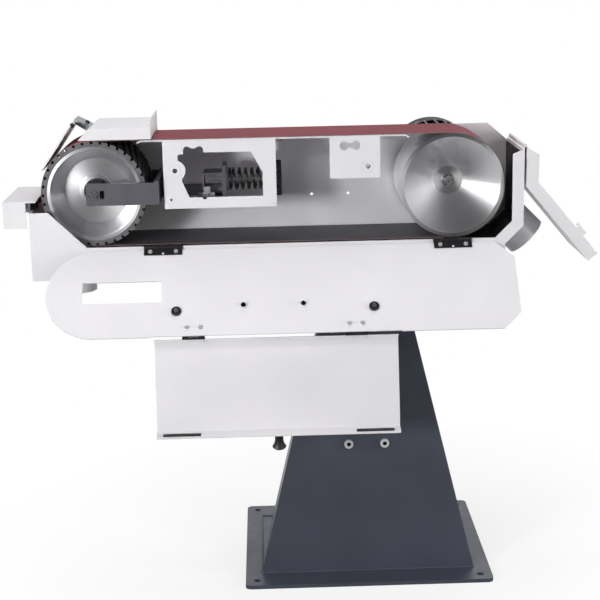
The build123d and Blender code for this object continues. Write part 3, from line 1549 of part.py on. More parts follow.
def build_hood():
    slope = math.radians(180 - hood_bend)
    along = Vector(math.cos(slope), math.sin(slope))
    outward = Vector(along.Y, -along.X)
    pivot = Vector(hood_pivot[0], hood_pivot[2])
    foot = pivot - outward * hood_barrel_radius
    start = foot + along * (hood_barrel_radius + moving_gap)
    bend = foot + along * hood_short
    tip = bend - Vector(hood_long, 0)
    line = [(start.X, start.Y), (bend.X, bend.Y), (tip.X, tip.Y)]
    depth = (front_plane, panel_front - moving_gap)
    front_y = (depth[0], depth[0] + hood_sheet)
    hood = front_plate(folded_sheet(line, hood_sheet), depth)
    inner = moved_line(line, hood_skirt)
    inner_end = Vector(*inner[0]) + along * hood_skirt_cut
    skirt = outline(*line, inner[2], inner[1], (inner_end.X, inner_end.Y))
    for y in (front_y, (depth[1] - hood_sheet, depth[1])):
        hood += front_plate(skirt, y)
    tab_x = (bend.X - hood_tab_place, bend.X - hood_tab_place + hood_tab_width)
    tab_z = tip.Y - hood_skirt
    tab = rect(tab_x, (tab_z - hood_tab_drop, tab_z + hood_tab_root))
    hook_x = (tab_x[1], tab_x[1] + hood_tab_hook)
    tab += rect(hook_x, (tab_z - hood_tab_drop, tab_z - hood_tab_drop + hood_tab_hook))
    hood += front_plate(tab, front_y)
    keep("drive_hood", to_open_hood(hood))

    pin_y = (depth[0] + hood_pin_inset, depth[1] - hood_pin_inset)
    width = (pin_y[1] - pin_y[0]) / hood_knuckles
    wall_x = (end_wall_x, end_wall_x + hood_leaf_sheet)
    wall_leaf = block(wall_x, pin_y, (end_wall_top - hood_leaf_height, hood_pivot[2]))
    leaf_end = foot + along * hood_leaf_height
    leaf_line = [(foot.X, foot.Y), (leaf_end.X, leaf_end.Y)]
    hood_leaf = front_plate(folded_sheet(leaf_line, -hood_leaf_sheet), pin_y)
    knuckles = []
    for place in range(hood_knuckles):
        knuckles.append((pin_y[0] + place * width, pin_y[0] + (place + 1) * width - moving_gap))
    for place, y in enumerate(knuckles):
        gap = (y[0] - moving_gap, y[1] + moving_gap)
        clear = rod_along_y(hood_barrel_radius + moving_gap, hood_pivot[0], gap, hood_pivot[2])
        if place % 2:
            wall_leaf -= clear
        else:
            hood_leaf -= clear
    for place, y in enumerate(knuckles):
        knuckle = rod_along_y(hood_barrel_radius, hood_pivot[0], y, hood_pivot[2])
        if place % 2:
            hood_leaf += knuckle
        else:
            wall_leaf += knuckle
    pin = hood_barrel_radius * 0.5
    hood_leaf -= rod_along_y(pin + running_clearance, hood_pivot[0], depth, hood_pivot[2])
    wall_leaf += rod_along_y(pin, hood_pivot[0], (pin_y[0], knuckles[-1][1]), hood_pivot[2])
    keep("hood_frame_leaf", wall_leaf)
    keep("hood_leaf", to_open_hood(hood_leaf))


stand_spots = build_stand()
build_switch()
build_back_panel()
build_wrap(stand_spots)
build_chute()
build_guards()
build_work_rest()
build_belt()
build_platen()
build_contact_wheel()
build_drive_wheel()
build_motor()
build_tension_box()
build_fork()
build_tension_rod()
build_spring()
flap_hinge_leaves = build_door()
build_flap(flap_hinge_leaves)
build_hood()

os.makedirs("parts", exist_ok=True)
for name, solids in nodes.items():
    shape = solids[0] if len(solids) == 1 else Compound(children=solids)
    export_step(shape, os.path.join("parts", name + ".step"))
print(len(nodes), "nodes")
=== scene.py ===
import json
import math

import bmesh
import bpy
from mathutils import Matrix, Vector


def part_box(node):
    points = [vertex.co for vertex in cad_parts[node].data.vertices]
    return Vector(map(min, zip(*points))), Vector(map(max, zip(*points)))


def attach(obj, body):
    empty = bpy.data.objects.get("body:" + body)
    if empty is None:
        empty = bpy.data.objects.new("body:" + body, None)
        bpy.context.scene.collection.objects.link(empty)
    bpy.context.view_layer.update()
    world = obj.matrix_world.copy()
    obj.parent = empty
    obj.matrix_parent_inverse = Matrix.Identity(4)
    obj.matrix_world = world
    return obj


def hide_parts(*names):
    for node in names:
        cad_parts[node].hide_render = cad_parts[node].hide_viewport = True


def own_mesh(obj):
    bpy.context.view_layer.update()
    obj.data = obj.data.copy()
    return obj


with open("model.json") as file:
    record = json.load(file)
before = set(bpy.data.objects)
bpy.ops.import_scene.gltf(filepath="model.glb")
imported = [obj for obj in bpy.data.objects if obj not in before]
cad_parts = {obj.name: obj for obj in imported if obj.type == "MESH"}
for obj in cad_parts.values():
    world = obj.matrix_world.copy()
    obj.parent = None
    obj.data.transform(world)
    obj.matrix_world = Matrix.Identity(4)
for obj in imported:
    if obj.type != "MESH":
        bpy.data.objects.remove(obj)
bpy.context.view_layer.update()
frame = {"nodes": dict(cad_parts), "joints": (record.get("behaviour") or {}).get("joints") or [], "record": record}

# Two-wheel belt grinder on a pedestal, covers open: finishes, small fasteners, studio and camera.
# Sizes are in millimetres in the head's frame: its origin lies on the contact wheel's axis, level with
# the belt's front edge. What the solids and joints already place is worked out from them.
# Pieces on covers are drawn as if closed and then turned open about the covers' own joints.

MM = 0.001
joints = {joint["name"]: joint for joint in frame["joints"]}

# Directions
FORWARD = (0.0, -1.0, 0.0)
BACKWARD = (0.0, 1.0, 0.0)
ASIDE = (1.0, 0.0, 0.0)

# Belt and spring; the spring's end turns rise by only a share of the wire's thickness
BELT_THICKNESS = 1.2
BELT_WEAR = 0.25
BELT_ARC_STEPS = 48
BELT_RUN_STEPS = 40
SPRING_WIRE = 2.25
SPRING_TURNS = 8
SPRING_STEPS = 36
SPRING_SIDES = 14
SPRING_END_TURNS = 0.75
SPRING_END_RISE = 0.4

# Covers with their hinges and the bow handle's studs
DOOR_LEAF = 2.0
DOOR_HINGE_LENGTH = 73.0
DOOR_RIVET_Z = -87.0
FLAP_INNER = -23.5
FLAP_HINGE_LENGTH = 42.0
FLAP_SCREW_SPREAD = 12.5
FLAP_SCREW_Z = 105.0
HANDLE_STUD_INSET = 5.0
HANDLE_STUD_Y = -16.0
HANDLE_STUD_Z = 31.0
HANDLE_STUD_REACH = 5.5

# Motor, switch box, spark guard, contact axle and end suction stub
TERMINAL_SCREW_INSET = 7.0
COWL_SCREW_INSET = 6.0
COWL_SCREWS = 4
COWL_SCREW_START = 0.25
SWITCH_SCREW_INSET_X = 7.0
SWITCH_SCREW_INSET_Z = 8.0
BRACKET_SCREW = (-13.2, 54.0, 129.0)
BRACKET_UP = (0.46, 0.0, 0.89)
AXLE_BRIGHT_RADIUS = 11.0
END_STUB_BORE = 40.6

# Front plates and back panel
SEAT_Z = 40.0
SEAT_RADIUS = 12.0
SEAT_WIRE = 0.5
SEAT_STEPS = 48
PANEL_PLUGS = ((420.0, 31.0), (587.0, -53.0))
PLUG_RADIUS = 3.0
PLUG_RISE = 0.5
PLUG_RECESS = 1.5
PLUG_SIDES = 24

# Stand: the bolts' height is measured from the floor, and their spread from the column's middle
FRONT_BOLT_SPREAD = 36.0
FRONT_BOLT_Z = 282.0
FRONT_SOCKET_MIDDLE = 1.75
FRONT_SOCKET_REACH = 4.5
WELD_WIRE = 2.6
WELD_RIPPLE = 5.0
WELD_SWELL = 0.16
WELD_PHASE = 2.1
BEAD_SIDES = 8

# Screw heads as (radius, height), and a pan head with a round recess as shares of both
TERMINAL_SCREW = (3.5, 2.4)
COWL_SCREW = (4.0, 2.6)
SWITCH_SCREW = (3.2, 1.6)
DOOR_RIVET = (2.2, 1.0)
FLAP_SCREW = (3.6, 2.6)
SPARK_PIN_CAP = (4.6, 2.2)
BRACKET_CAP = (4.5, 6.0)
HEAD_PROFILE = (
    (0.0, 0.0),
    (1.0, 0.0),
    (1.0, 0.45),
    (0.86, 0.85),
    (0.6, 1.0),
    (0.42, 1.0),
    (0.378, 0.4),
    (0.0, 0.35),
)
HEAD_SIDES = 20
SHARP_ANGLE = 35.0

# Colours as linear red, green and blue
HOUSING = (0.80, 0.785, 0.81)
STUB_SHADE = 0.97
STAND = (0.068, 0.075, 0.102)
FORK = (0.100, 0.096, 0.112)
MOTOR = (0.025, 0.025, 0.029)
COWL = (0.006, 0.006, 0.007)
FAN = (0.045, 0.045, 0.050)
BLACK_PLASTIC = (0.011, 0.011, 0.012)
SPRING_LACQUER = (0.014, 0.014, 0.016)
GREEN = (0.02, 0.26, 0.07)
RED = (0.50, 0.02, 0.02)
RUBBER = (0.105, 0.103, 0.110)
ALUMINIUM = (0.86, 0.86, 0.88)
STEEL = (0.58, 0.58, 0.59)
BEARING = (0.66, 0.66, 0.67)
BRASS = (0.60, 0.45, 0.22)
LAMINATION = (0.22, 0.22, 0.23)
NEAR_BLACK = (0.010, 0.010, 0.012)
ZINC = (0.50, 0.52, 0.52)
ZINC_TINT = (0.43, 0.46, 0.48)
SCREW = (0.86, 0.87, 0.87)
SCREW_TINT = (0.78, 0.80, 0.80)
BRACKET = (0.30, 0.34, 0.34)
BRACKET_TINT = (0.24, 0.28, 0.29)
GRIT = (0.235, 0.073, 0.086)
CLOTH = (0.062, 0.060, 0.068)
COTTON = (0.20, 0.16, 0.15)
COTTON_DARK = (0.10, 0.075, 0.07)
COTTON_PALE = (0.30, 0.26, 0.24)
# Near-black painted shade for the inside of the suction bore
PAINTED_BORE_SHADE = (0.010, 0.010, 0.010)
PAINTED_BORE_SHADE_PALE = (0.030, 0.028, 0.026)

# Studio: levels of light, and lengths in metres
FLOOR_HALF = 30.0
FLOOR_FADE = (0.30, 0.85)
FLOOR_GLOW = 0.72
FLOOR_MATTE = (0.36, 0.36, 0.36)
FLOOR_BOUNCE = (0.5, 0.5, 0.5)
FLOOR_MIRROR_DEPTHS = (-0.3, 0.6)
FLOOR_MIRROR_LEVEL = 0.9
BACKDROP_RISE = (-0.1, 0.5)
ROOM_LEVEL = 0.05
AMBIENT_LEVEL = 0.03
LIGHT_TARGET = Vector((-0.1, -0.1, 0.8))

# Camera, from the photograph's vanishing lines
CAMERA_PLACE = (332.74, -2653.42, 432.84)
CAMERA_YAW = 1.2
CAMERA_PITCH = 13.799
CAMERA_ROLL = 1.23
CAMERA_LENS = 84.0
CAMERA_SENSOR = 36.0

wheel_axis = Vector(joints["contact_spin"]["pos_m"])
drive_axis = Vector(joints["drive_spin"]["pos_m"])
head_origin = Vector((wheel_axis.x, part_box("abrasive_belt")[0].y, wheel_axis.z))


def head(x, y, z):
    """Point of the shared frame in metres, from millimetres in the head's frame."""
    return head_origin + Vector((x, y, z)) * MM


def in_head(point):
    """Millimetres in the head's frame, from a point of the shared frame in metres."""
    return (Vector(point) - head_origin) / MM


def node_box(name):
    """Lowest and highest corner of a solid at rest, in millimetres in the head's frame."""
    return [in_head(corner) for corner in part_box(name)]


def joint_spot(name):
    """Place of a joint, in millimetres in the head's frame."""
    return in_head(joints[name]["pos_m"])


def inset(low, high, gap):
    """Two places at the same gap from both ends of a stretch."""
    return low + gap, high - gap


def opened(joint_name):
    """Turn that takes a cover from its closed place, where it is drawn, to the open one at rest."""
    joint = joints[joint_name]
    pivot = Vector(joint["pos_m"])
    turn = Matrix.Rotation(-math.radians(joint["range_deg"][1]), 4, Vector(joint["axis"]))
    return Matrix.Translation(pivot) @ turn @ Matrix.Translation(-pivot)


# Mesh helpers
def mesh_piece(name, bm, body, slot, *materials):
    """Turns a bmesh into a smooth piece that rides on a body."""
    bmesh.ops.recalc_face_normals(bm, faces=bm.faces)
    mesh = bpy.data.meshes.new(name)
    bm.to_mesh(mesh)
    bm.free()
    for material in materials:
        mesh.materials.append(material)
    mesh.polygons.foreach_set("use_smooth", [True] * len(mesh.polygons))
    piece = bpy.data.objects.new(name, mesh)
    bpy.context.scene.collection.objects.link(piece)
    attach(piece, body)
    return piece


def sharpen(piece):
    """Keeps edges crisp where faces meet at more than the sharp angle."""
    bm = bmesh.new()
    bm.from_mesh(piece.data)
    limit = math.radians(SHARP_ANGLE)
    for edge in bm.edges:
        edge.smooth = edge.calc_face_angle(0.0) < limit
    bm.to_mesh(piece.data)
    bm.free()


def axis_matrix(origin, way):
    """Places a shape drawn about Z so that its axis runs along way from origin."""
    spin = Vector((0.0, 0.0, 1.0)).rotation_difference(Vector(way).normalized()).to_matrix().to_4x4()
    return Matrix.Translation(origin) @ spin


def add_lathe(bm, profile, place, sides):
    """Turns (radius, height) points in millimetres about Z and places the result."""
    rings = []
    for radius, height in profile:
        ring = []
        for side in range(sides if radius else 1):
            angle = 2 * math.pi * side / sides
            spot = Vector((radius * math.cos(angle), radius * math.sin(angle), height)) * MM
            ring.append(bm.verts.new(place @ spot))
        rings.append(ring)
    for low, high in zip(rings, rings[1:]):
        for side in range(sides):
            after = (side + 1) % sides
            below = [low[side % len(low)], low[after % len(low)]]
            above = [high[after % len(high)], high[side % len(high)]]
            corners = list(dict.fromkeys(below + above))
            if len(corners) > 2:
                bm.faces.new(corners)


def add_tube(bm, points, radius, sides, closed=False):
    """Sweeps a circle along points, both in metres, with a frame carried along the line."""
    count = len(points)
    rings = []
    normal = None
    for index, point in enumerate(points):
        before = points[index - 1] if index or closed else points[0]
        after = points[(index + 1) % count] if index + 1 < count or closed else points[-1]
        way = (after - before).normalized()
        if normal is None:
            normal = way.orthogonal().normalized()
        normal = (normal - way * normal.dot(way)).normalized()
        other = way.cross(normal)
        ring = []
        for side in range(sides):
            angle = 2 * math.pi * side / sides
            offset = normal * math.cos(angle) + other * math.sin(angle)
            ring.append(bm.verts.new(point + offset * radius))
        rings.append(ring)
    pairs = list(zip(rings, rings[1:]))
    if closed:
        pairs.append((rings[-1], rings[0]))
    for low, high in pairs:
        for side in range(sides):
            after = (side + 1) % sides
            bm.faces.new([low[side], low[after], high[after], high[side]])
    if not closed:
        bm.faces.new(list(reversed(rings[0])))
        bm.faces.new(rings[-1])


# Materials: each has its own colour, grain and gloss, worked out from the object's coordinates and faces; a few
# also carry painted shade
def shade(color, factor):
    return tuple(min(1.0, channel * factor) for channel in color)


class Recipe:
    """Builds one node material and keeps its common nodes at hand."""

    def __init__(self, name, color, roughness, metallic=0.0):
        self.own_color = color
        self.own_roughness = roughness
        self.material = bpy.data.materials.new(name)
        self.material.use_nodes = True
        self.tree = self.material.node_tree
        self.shader = self.tree.nodes["Principled BSDF"]
        self.shader.inputs["Base Color"].default_value = (*color, 1.0)
        self.shader.inputs["Roughness"].default_value = roughness
        self.shader.inputs["Metallic"].default_value = metallic
        self.place = self.node("ShaderNodeTexCoord").outputs["Object"]

    def node(self, kind, **settings):
        node = self.tree.nodes.new(kind)
        for key, value in settings.items():
            setattr(node, key, value)
        return node

    def link(self, source, target):
        self.tree.links.new(source, target)

    def noise(self, scale, detail=3.0, place=None):
        texture = self.node("ShaderNodeTexNoise")
        texture.inputs["Scale"].default_value = scale
        texture.inputs["Detail"].default_value = detail
        self.link(place or self.place, texture.inputs["Vector"])
        return texture.outputs["Fac"]

    def stretched(self, scale):
        """Own coordinates, drawn out along the axes that have a small scale."""
        node = self.node("ShaderNodeMapping")
        node.inputs["Scale"].default_value = scale
        self.link(self.place, node.inputs["Vector"])
        return node.outputs["Vector"]

    def math(self, operation, first, second=None):
        node = self.node("ShaderNodeMath", operation=operation)
        for socket, value in zip(node.inputs, (first, second)):
            if value is None:
                continue
            if isinstance(value, (int, float)):
                socket.default_value = value
            else:
                self.link(value, socket)
        return node.outputs[0]

    def vector(self, operation, first, second=None):
        """Vector maths on a node's output and, where it takes two, a fixed vector."""
        node = self.node("ShaderNodeVectorMath", operation=operation)
        self.link(first, node.inputs[0])
        if second is not None:
            node.inputs[1].default_value = second
        return node.outputs["Value" if operation in ("DISTANCE", "LENGTH") else "Vector"]

    def near_any(self, spots, reach):
        """One within reach of any of the spots, zero elsewhere."""
        inside = 0.0
        for spot in spots:
            gap = self.vector("DISTANCE", self.place, spot)
            inside = self.math("MAXIMUM", inside, self.math("LESS_THAN", gap, reach))
        return inside

    def axis_distance(self, origin, way):
        """Distance from the axis that runs through origin along the unit vector way."""
        offset = self.vector("SUBTRACT", self.place, origin)
        return self.vector("LENGTH", self.vector("CROSS_PRODUCT", offset, way))

    def spread(self, value, low=0.0, high=1.0, start=0.3, end=0.7):
        node = self.node("ShaderNodeMapRange")
        for name, number in (("From Min", start), ("From Max", end), ("To Min", low), ("To Max", high)):
            node.inputs[name].default_value = number
        self.link(value, node.inputs["Value"])
        return node.outputs["Result"]

    def blend(self, factor, first, second):
        """Mixes two colours, each a tuple or another node's output."""
        node = self.node("ShaderNodeMix", data_type="RGBA")
        self.link(factor, node.inputs["Factor"])
        for socket, value in ((node.inputs["A"], first), (node.inputs["B"], second)):
            if isinstance(value, tuple):
                socket.default_value = (*value, 1.0)
            else:
                self.link(value, socket)
        return node.outputs["Result"]

    def mottle(self, pattern, dark, pale):
        """Own colour, drifting with a pattern from a dark share of it to a pale one."""
        return self.blend(self.spread(pattern), shade(self.own_color, dark), shade(self.own_color, pale))

    def color(self, value):
        self.link(value, self.shader.inputs["Base Color"])

    def uneven_gloss(self, pattern, less, more):
        """Lets the roughness drift with a pattern about its own value."""
        roughness = self.spread(pattern, self.own_roughness - less, self.own_roughness + more)
        self.link(roughness, self.shader.inputs["Roughness"])

    def bump(self, height, strength, distance):
        node = self.node("ShaderNodeBump")
        node.inputs["Strength"].default_value = strength
        node.inputs["Distance"].default_value = distance
        self.link(height, node.inputs["Height"])
        self.link(node.outputs["Normal"], self.shader.inputs["Normal"])


def paint(name, color, roughness, drift=0.03, peel=520.0, outlet=None):
    """Powder coat: cloudy drift over a fine orange peel, with painted shade, near black, inside an outlet's bore.
    """
    recipe = Recipe(name, color, roughness)
    coat = recipe.mottle(recipe.noise(scale=7.0), 1 - drift, 1 + drift)
    if outlet:
        origin, way, bore = outlet
        inside = recipe.math("LESS_THAN", recipe.axis_distance(origin, way), bore)
        # Painted shade: inside the outlet's bore the coat turns near black
        bore_shade = recipe.blend(recipe.spread(recipe.noise(scale=90.0)), PAINTED_BORE_SHADE, PAINTED_BORE_SHADE_PALE)
        coat = recipe.blend(inside, coat, bore_shade)
    recipe.color(coat)
    recipe.uneven_gloss(recipe.noise(scale=38.0), less=0.05, more=0.06)
    recipe.bump(recipe.noise(scale=peel, detail=2.0), strength=0.10, distance=0.0004)
    return recipe.material


def plastic(name, color, roughness, depth=0.25):
    """Moulded plastic with a fine eroded grain."""
    recipe = Recipe(name, color, roughness)
    recipe.color(recipe.mottle(recipe.noise(scale=22.0), 0.8, 1.25))
    recipe.uneven_gloss(recipe.noise(scale=90.0), less=0.08, more=0.08)
    recipe.bump(recipe.noise(scale=1500.0, detail=2.0), strength=depth, distance=0.0002)
    return recipe.material


def plated(name, color, roughness, tint, black_spots=(), reach=0.0):
    """Zinc plate: cloudy bright metal with faint tumbling marks, and painted shade, near black, within reach of
    given spots.
    """
    recipe = Recipe(name, color, roughness, metallic=1.0)
    finish = recipe.blend(recipe.spread(recipe.noise(scale=60.0, detail=4.0)), color, tint)
    if black_spots:
        # Painted shade: near black within reach of the spots
        finish = recipe.blend(recipe.near_any(black_spots, reach), finish, NEAR_BLACK)
    recipe.color(finish)
    recipe.uneven_gloss(recipe.noise(scale=240.0), less=0.08, more=0.10)
    recipe.bump(recipe.noise(scale=900.0), strength=0.12, distance=0.0001)
    return recipe.material


def ground(name, color, roughness, direction):
    """Ground or drawn steel: fine scratches stretched along one direction."""
    recipe = Recipe(name, color, roughness, metallic=1.0)
    lines = recipe.noise(scale=40.0, place=recipe.stretched(direction))
    recipe.color(recipe.mottle(lines, 0.88, 1.06))
    recipe.uneven_gloss(lines, less=0.06, more=0.10)
    recipe.bump(lines, strength=0.08, distance=0.0001)
    return recipe.material


def turned(name, color, roughness, axis, anisotropy):
    """Spun aluminium: rings of tool marks, glossy across them and dull along them."""
    quarter_turn = 0.25
    recipe = Recipe(name, color, roughness, metallic=1.0)
    recipe.shader.inputs["Anisotropic"].default_value = anisotropy
    recipe.shader.inputs["Anisotropic Rotation"].default_value = quarter_turn
    tangent = recipe.node("ShaderNodeTangent", direction_type="RADIAL", axis="Y")
    recipe.link(tangent.outputs["Tangent"], recipe.shader.inputs["Tangent"])
    marks = recipe.node("ShaderNodeTexNoise", noise_dimensions="1D")
    marks.inputs["Scale"].default_value = 900.0
    marks.inputs["Detail"].default_value = 4.0
    recipe.link(recipe.axis_distance(axis, BACKWARD), marks.inputs["W"])
    rings = marks.outputs["Fac"]
    recipe.color(recipe.mottle(rings, 0.96, 1.03))
    recipe.uneven_gloss(rings, less=0.02, more=0.03)
    recipe.bump(rings, strength=0.004, distance=0.0001)
    return recipe.material


def rubber(name, color, roughness):
    """Wheel rubber: grey on the flat sides, with painted shade that turns the tread and its grooves nearly black.
    """
    side_limit = 0.7
    painted_tread_shade = shade(color, 0.22)
    recipe = Recipe(name, color, roughness)
    sides = recipe.mottle(recipe.noise(scale=70.0, detail=5.0), 0.8, 1.3)
    normal = recipe.node("ShaderNodeNewGeometry").outputs["True Normal"]
    across = recipe.node("ShaderNodeSeparateXYZ")
    recipe.link(normal, across.inputs[0])
    facing = recipe.math("ABSOLUTE", across.outputs["Y"])
    # Painted shade: faces that don't look front or back, the tread and the groove walls, take a much darker copy
    # of the rubber
    recipe.color(recipe.blend(recipe.math("LESS_THAN", facing, side_limit), sides, painted_tread_shade))
    recipe.uneven_gloss(recipe.noise(scale=180.0), less=0.1, more=0.08)
    recipe.bump(recipe.noise(scale=700.0, detail=4.0), strength=0.3, distance=0.0003)
    return recipe.material


def abrasive():
    """Outer side of the belt: red-brown grit set in resin, with streaks along the run."""
    recipe = Recipe("belt_abrasive", GRIT, 0.8)
    recipe.shader.inputs["Specular IOR Level"].default_value = 0.15
    grit = recipe.node("ShaderNodeTexVoronoi")
    grit.inputs["Scale"].default_value = 1500.0
    recipe.link(recipe.place, grit.inputs["Vector"])
    speck = recipe.spread(grit.outputs["Distance"], start=0.1)
    streak = recipe.noise(scale=5.0, place=recipe.stretched((1.0, 14.0, 4.0)))
    recipe.color(recipe.blend(speck, shade(GRIT, 1.35), recipe.mottle(streak, 0.86, 1.12)))
    recipe.bump(grit.outputs["Distance"], strength=0.6, distance=0.0004)
    return recipe.material


def backing():
    """Inner side of the belt: dark woven cloth."""
    recipe = Recipe("belt_backing", CLOTH, 0.62)
    waves = []
    for axis in ("X", "Y"):
        wave = recipe.node("ShaderNodeTexWave", bands_direction=axis)
        wave.inputs["Scale"].default_value = 300.0
        wave.inputs["Distortion"].default_value = 0.6
        recipe.link(recipe.place, wave.inputs["Vector"])
        waves.append(wave.outputs["Fac"])
    weave = recipe.math("MULTIPLY", *waves)
    threads = recipe.spread(weave, high=0.5, start=0.0, end=1.0)
    base = recipe.mottle(recipe.noise(scale=9.0, detail=4.0), 0.75, 1.4)
    recipe.color(recipe.blend(threads, base, shade(CLOTH, 1.6)))
    recipe.bump(weave, strength=0.35, distance=0.0003)
    return recipe.material


def cut_edge():
    """Cut edge of the belt: pale cotton between resin and grit."""
    recipe = Recipe("belt_edge", COTTON, 0.85)
    frays = recipe.noise(scale=400.0)
    recipe.color(recipe.blend(recipe.spread(frays), COTTON_DARK, COTTON_PALE))
    recipe.bump(frays, strength=0.5, distance=0.0003)
    return recipe.material


def blacked_axle():
    """Ground axle whose wide collars are blacked."""
    recipe = Recipe("blacked_axle", STEEL, 0.30, metallic=1.0)
    radius = recipe.axis_distance(wheel_axis, BACKWARD)
    collar = recipe.math("GREATER_THAN", radius, AXLE_BRIGHT_RADIUS * MM)
    streaks = recipe.noise(scale=240.0)
    recipe.color(recipe.blend(collar, recipe.mottle(streaks, 0.30, 0.42), NEAR_BLACK))
    recipe.uneven_gloss(streaks, less=0.06, more=0.10)
    recipe.link(recipe.math("SUBTRACT", 1.0, collar), recipe.shader.inputs["Metallic"])
    return recipe.material


finishes = {
    "housing_paint": paint("light_grey_coat", HOUSING, 0.42),
    "stub_paint": paint("stub_coat", shade(HOUSING, STUB_SHADE), 0.40),
    "stand_paint": paint("anthracite_coat", STAND, 0.40, drift=0.08),
    "fork_paint": paint("fork_enamel", FORK, 0.38, drift=0.06),
    "black_steel": paint("black_oxide", NEAR_BLACK, 0.42, drift=0.15, peel=900.0),
    "black_plastic": plastic("black_moulding", BLACK_PLASTIC, 0.52),
    "zinc_steel": plated("zinc_plate", ZINC, 0.40, ZINC_TINT),
    "bright_steel": ground("ground_steel", STEEL, 0.28, (1.0, 12.0, 12.0)),
    "bearing_steel": ground("bearing_ring", BEARING, 0.16, (8.0, 1.0, 8.0)),
    "spring_steel": plastic("spring_lacquer", SPRING_LACQUER, 0.30, depth=0.05),
    "bush_brass": ground("bush_metal", BRASS, 0.34, (10.0, 1.0, 10.0)),
    "motor_paint": paint("motor_enamel", MOTOR, 0.40, drift=0.12),
    "motor_core": ground("lamination", LAMINATION, 0.45, (1.0, 30.0, 1.0)),
    "motor_fan": plastic("fan_moulding", FAN, 0.50),
    "tyre_rubber": rubber("tyre_rubber", RUBBER, 0.66),
    "green_button": plastic("green_cap", GREEN, 0.25, depth=0.05),
    "red_button": plastic("red_cap", RED, 0.25, depth=0.05),
    "belt_cloth": abrasive(),
}
screw_finish = plated("screw_plate", SCREW, 0.62, SCREW_TINT)


def stud_ends():
    """Ends of the bow handle's studs on the open door."""
    low, high = node_box("door_handle")
    studs = inset(low.x, high.x, HANDLE_STUD_INSET)
    return [opened("door_swing") @ head(x, HANDLE_STUD_Y, HANDLE_STUD_Z) for x in studs]


def front_sockets():
    """Middles of the sockets in the two screws on the stand's front."""
    low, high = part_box("stand_column")
    middle = (low.x + high.x) / 2
    spread = FRONT_BOLT_SPREAD * MM
    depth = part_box("stand_bolts")[0].y + FRONT_SOCKET_MIDDLE * MM
    return [Vector((x, depth, FRONT_BOLT_Z * MM)) for x in (middle - spread, middle + spread)]


def dress_nodes():
    """Gives each solid the finish of its material slot, or one of its own."""
    slots = {row["node"]: row["material_slot"] for row in frame["record"]["subparts"]}
    mounts = {mount["name"]: mount for mount in frame["record"]["mounts"]}
    outlet = (mounts["end_outlet"]["pos_m"], mounts["end_outlet"]["axis"], END_STUB_BORE * MM)
    stud_reach = HANDLE_STUD_REACH * MM
    socket_reach = FRONT_SOCKET_REACH * MM
    special = {
        "drive_wheel": turned("drive_wheel_turning", ALUMINIUM, 0.32, drive_axis, 0.68),
        "contact_wheel_hub": turned("contact_hub_turning", ALUMINIUM, 0.30, wheel_axis, 0.50),
        "contact_axle": blacked_axle(),
        "fan_cowl": plastic("cowl_moulding", COWL, 0.70),
        "guard_bracket": plated("bracket_plate", BRACKET, 0.50, BRACKET_TINT),
        # Painted shade, near black, on the ends of the handle's studs and in the sockets of the stand's front
        # screws
        "door_screws": plated("door_screw_plate", SCREW, 0.62, SCREW_TINT, stud_ends(), stud_reach),
        "stand_bolts": plated("bolt_plate", SCREW, 0.62, SCREW_TINT, front_sockets(), socket_reach),
        # The stub and the wrap carry painted shade inside the suction bore
        "end_suction_stub": paint("end_stub_coat", shade(HOUSING, STUB_SHADE), 0.40, outlet=outlet),
        "housing_wrap": paint("wrap_coat", HOUSING, 0.40, outlet=outlet),
    }
    for name, node in frame["nodes"].items():
        finish = special.get(name) or finishes[slots[name]]
        node.data.materials.clear()
        node.data.materials.append(finish)


# Abrasive belt: one closed strip with worn edges, grit outside, cloth inside
def belt_loop_points():
    """Wheel or run points and outward directions once round the loop, as (x, z) in millimetres."""
    span = (drive_axis.x - wheel_axis.x) / MM
    loop = []
    for step in range(BELT_RUN_STEPS):
        loop.append(((span * step / BELT_RUN_STEPS, 0.0), (0.0, 1.0)))
    for step in range(BELT_ARC_STEPS):
        angle = math.pi / 2 - math.pi * step / BELT_ARC_STEPS
        loop.append(((span, 0.0), (math.cos(angle), math.sin(angle))))
    for step in range(BELT_RUN_STEPS):
        loop.append(((span * (1 - step / BELT_RUN_STEPS), 0.0), (0.0, -1.0)))
    for step in range(BELT_ARC_STEPS):
        angle = -math.pi / 2 - math.pi * step / BELT_ARC_STEPS
        loop.append(((0.0, 0.0), (math.cos(angle), math.sin(angle))))
    return loop


def build_belt():
    """Carries the belt's section round the loop."""
    outside, inside, cut = range(3)
    low, high = node_box("abrasive_belt")
    width = high.y - low.y
    outer = high.z
    inner = outer - BELT_THICKNESS
    worn = outer - BELT_WEAR
    # Corners as radius, depth and the finish of the side that starts there
    section = [
        (inner, 0.0, cut),
        (worn, 0.0, outside),
        (outer, BELT_WEAR, outside),
        (outer, width - BELT_WEAR, outside),
        (worn, width, cut),
        (inner, width, inside),
    ]
    bm = bmesh.new()
    rings = []
    for (x, z), (out_x, out_z) in belt_loop_points():
        rings.append([bm.verts.new(head(x + out_x * r, y, z + out_z * r)) for r, y, _ in section])
    for index, ring in enumerate(rings):
        after = rings[(index + 1) % len(rings)]
        for corner, (_, _, finish) in enumerate(section):
            step = (corner + 1) % len(section)
            face = bm.faces.new([ring[corner], ring[step], after[step], after[corner]])
            face.material_index = finish
    coats = (finishes["belt_cloth"], backing(), cut_edge())
    belt = mesh_piece("abrasive_belt_strip", bm, "frame", "belt_cloth", *coats)
    sharpen(belt)
    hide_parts("abrasive_belt")
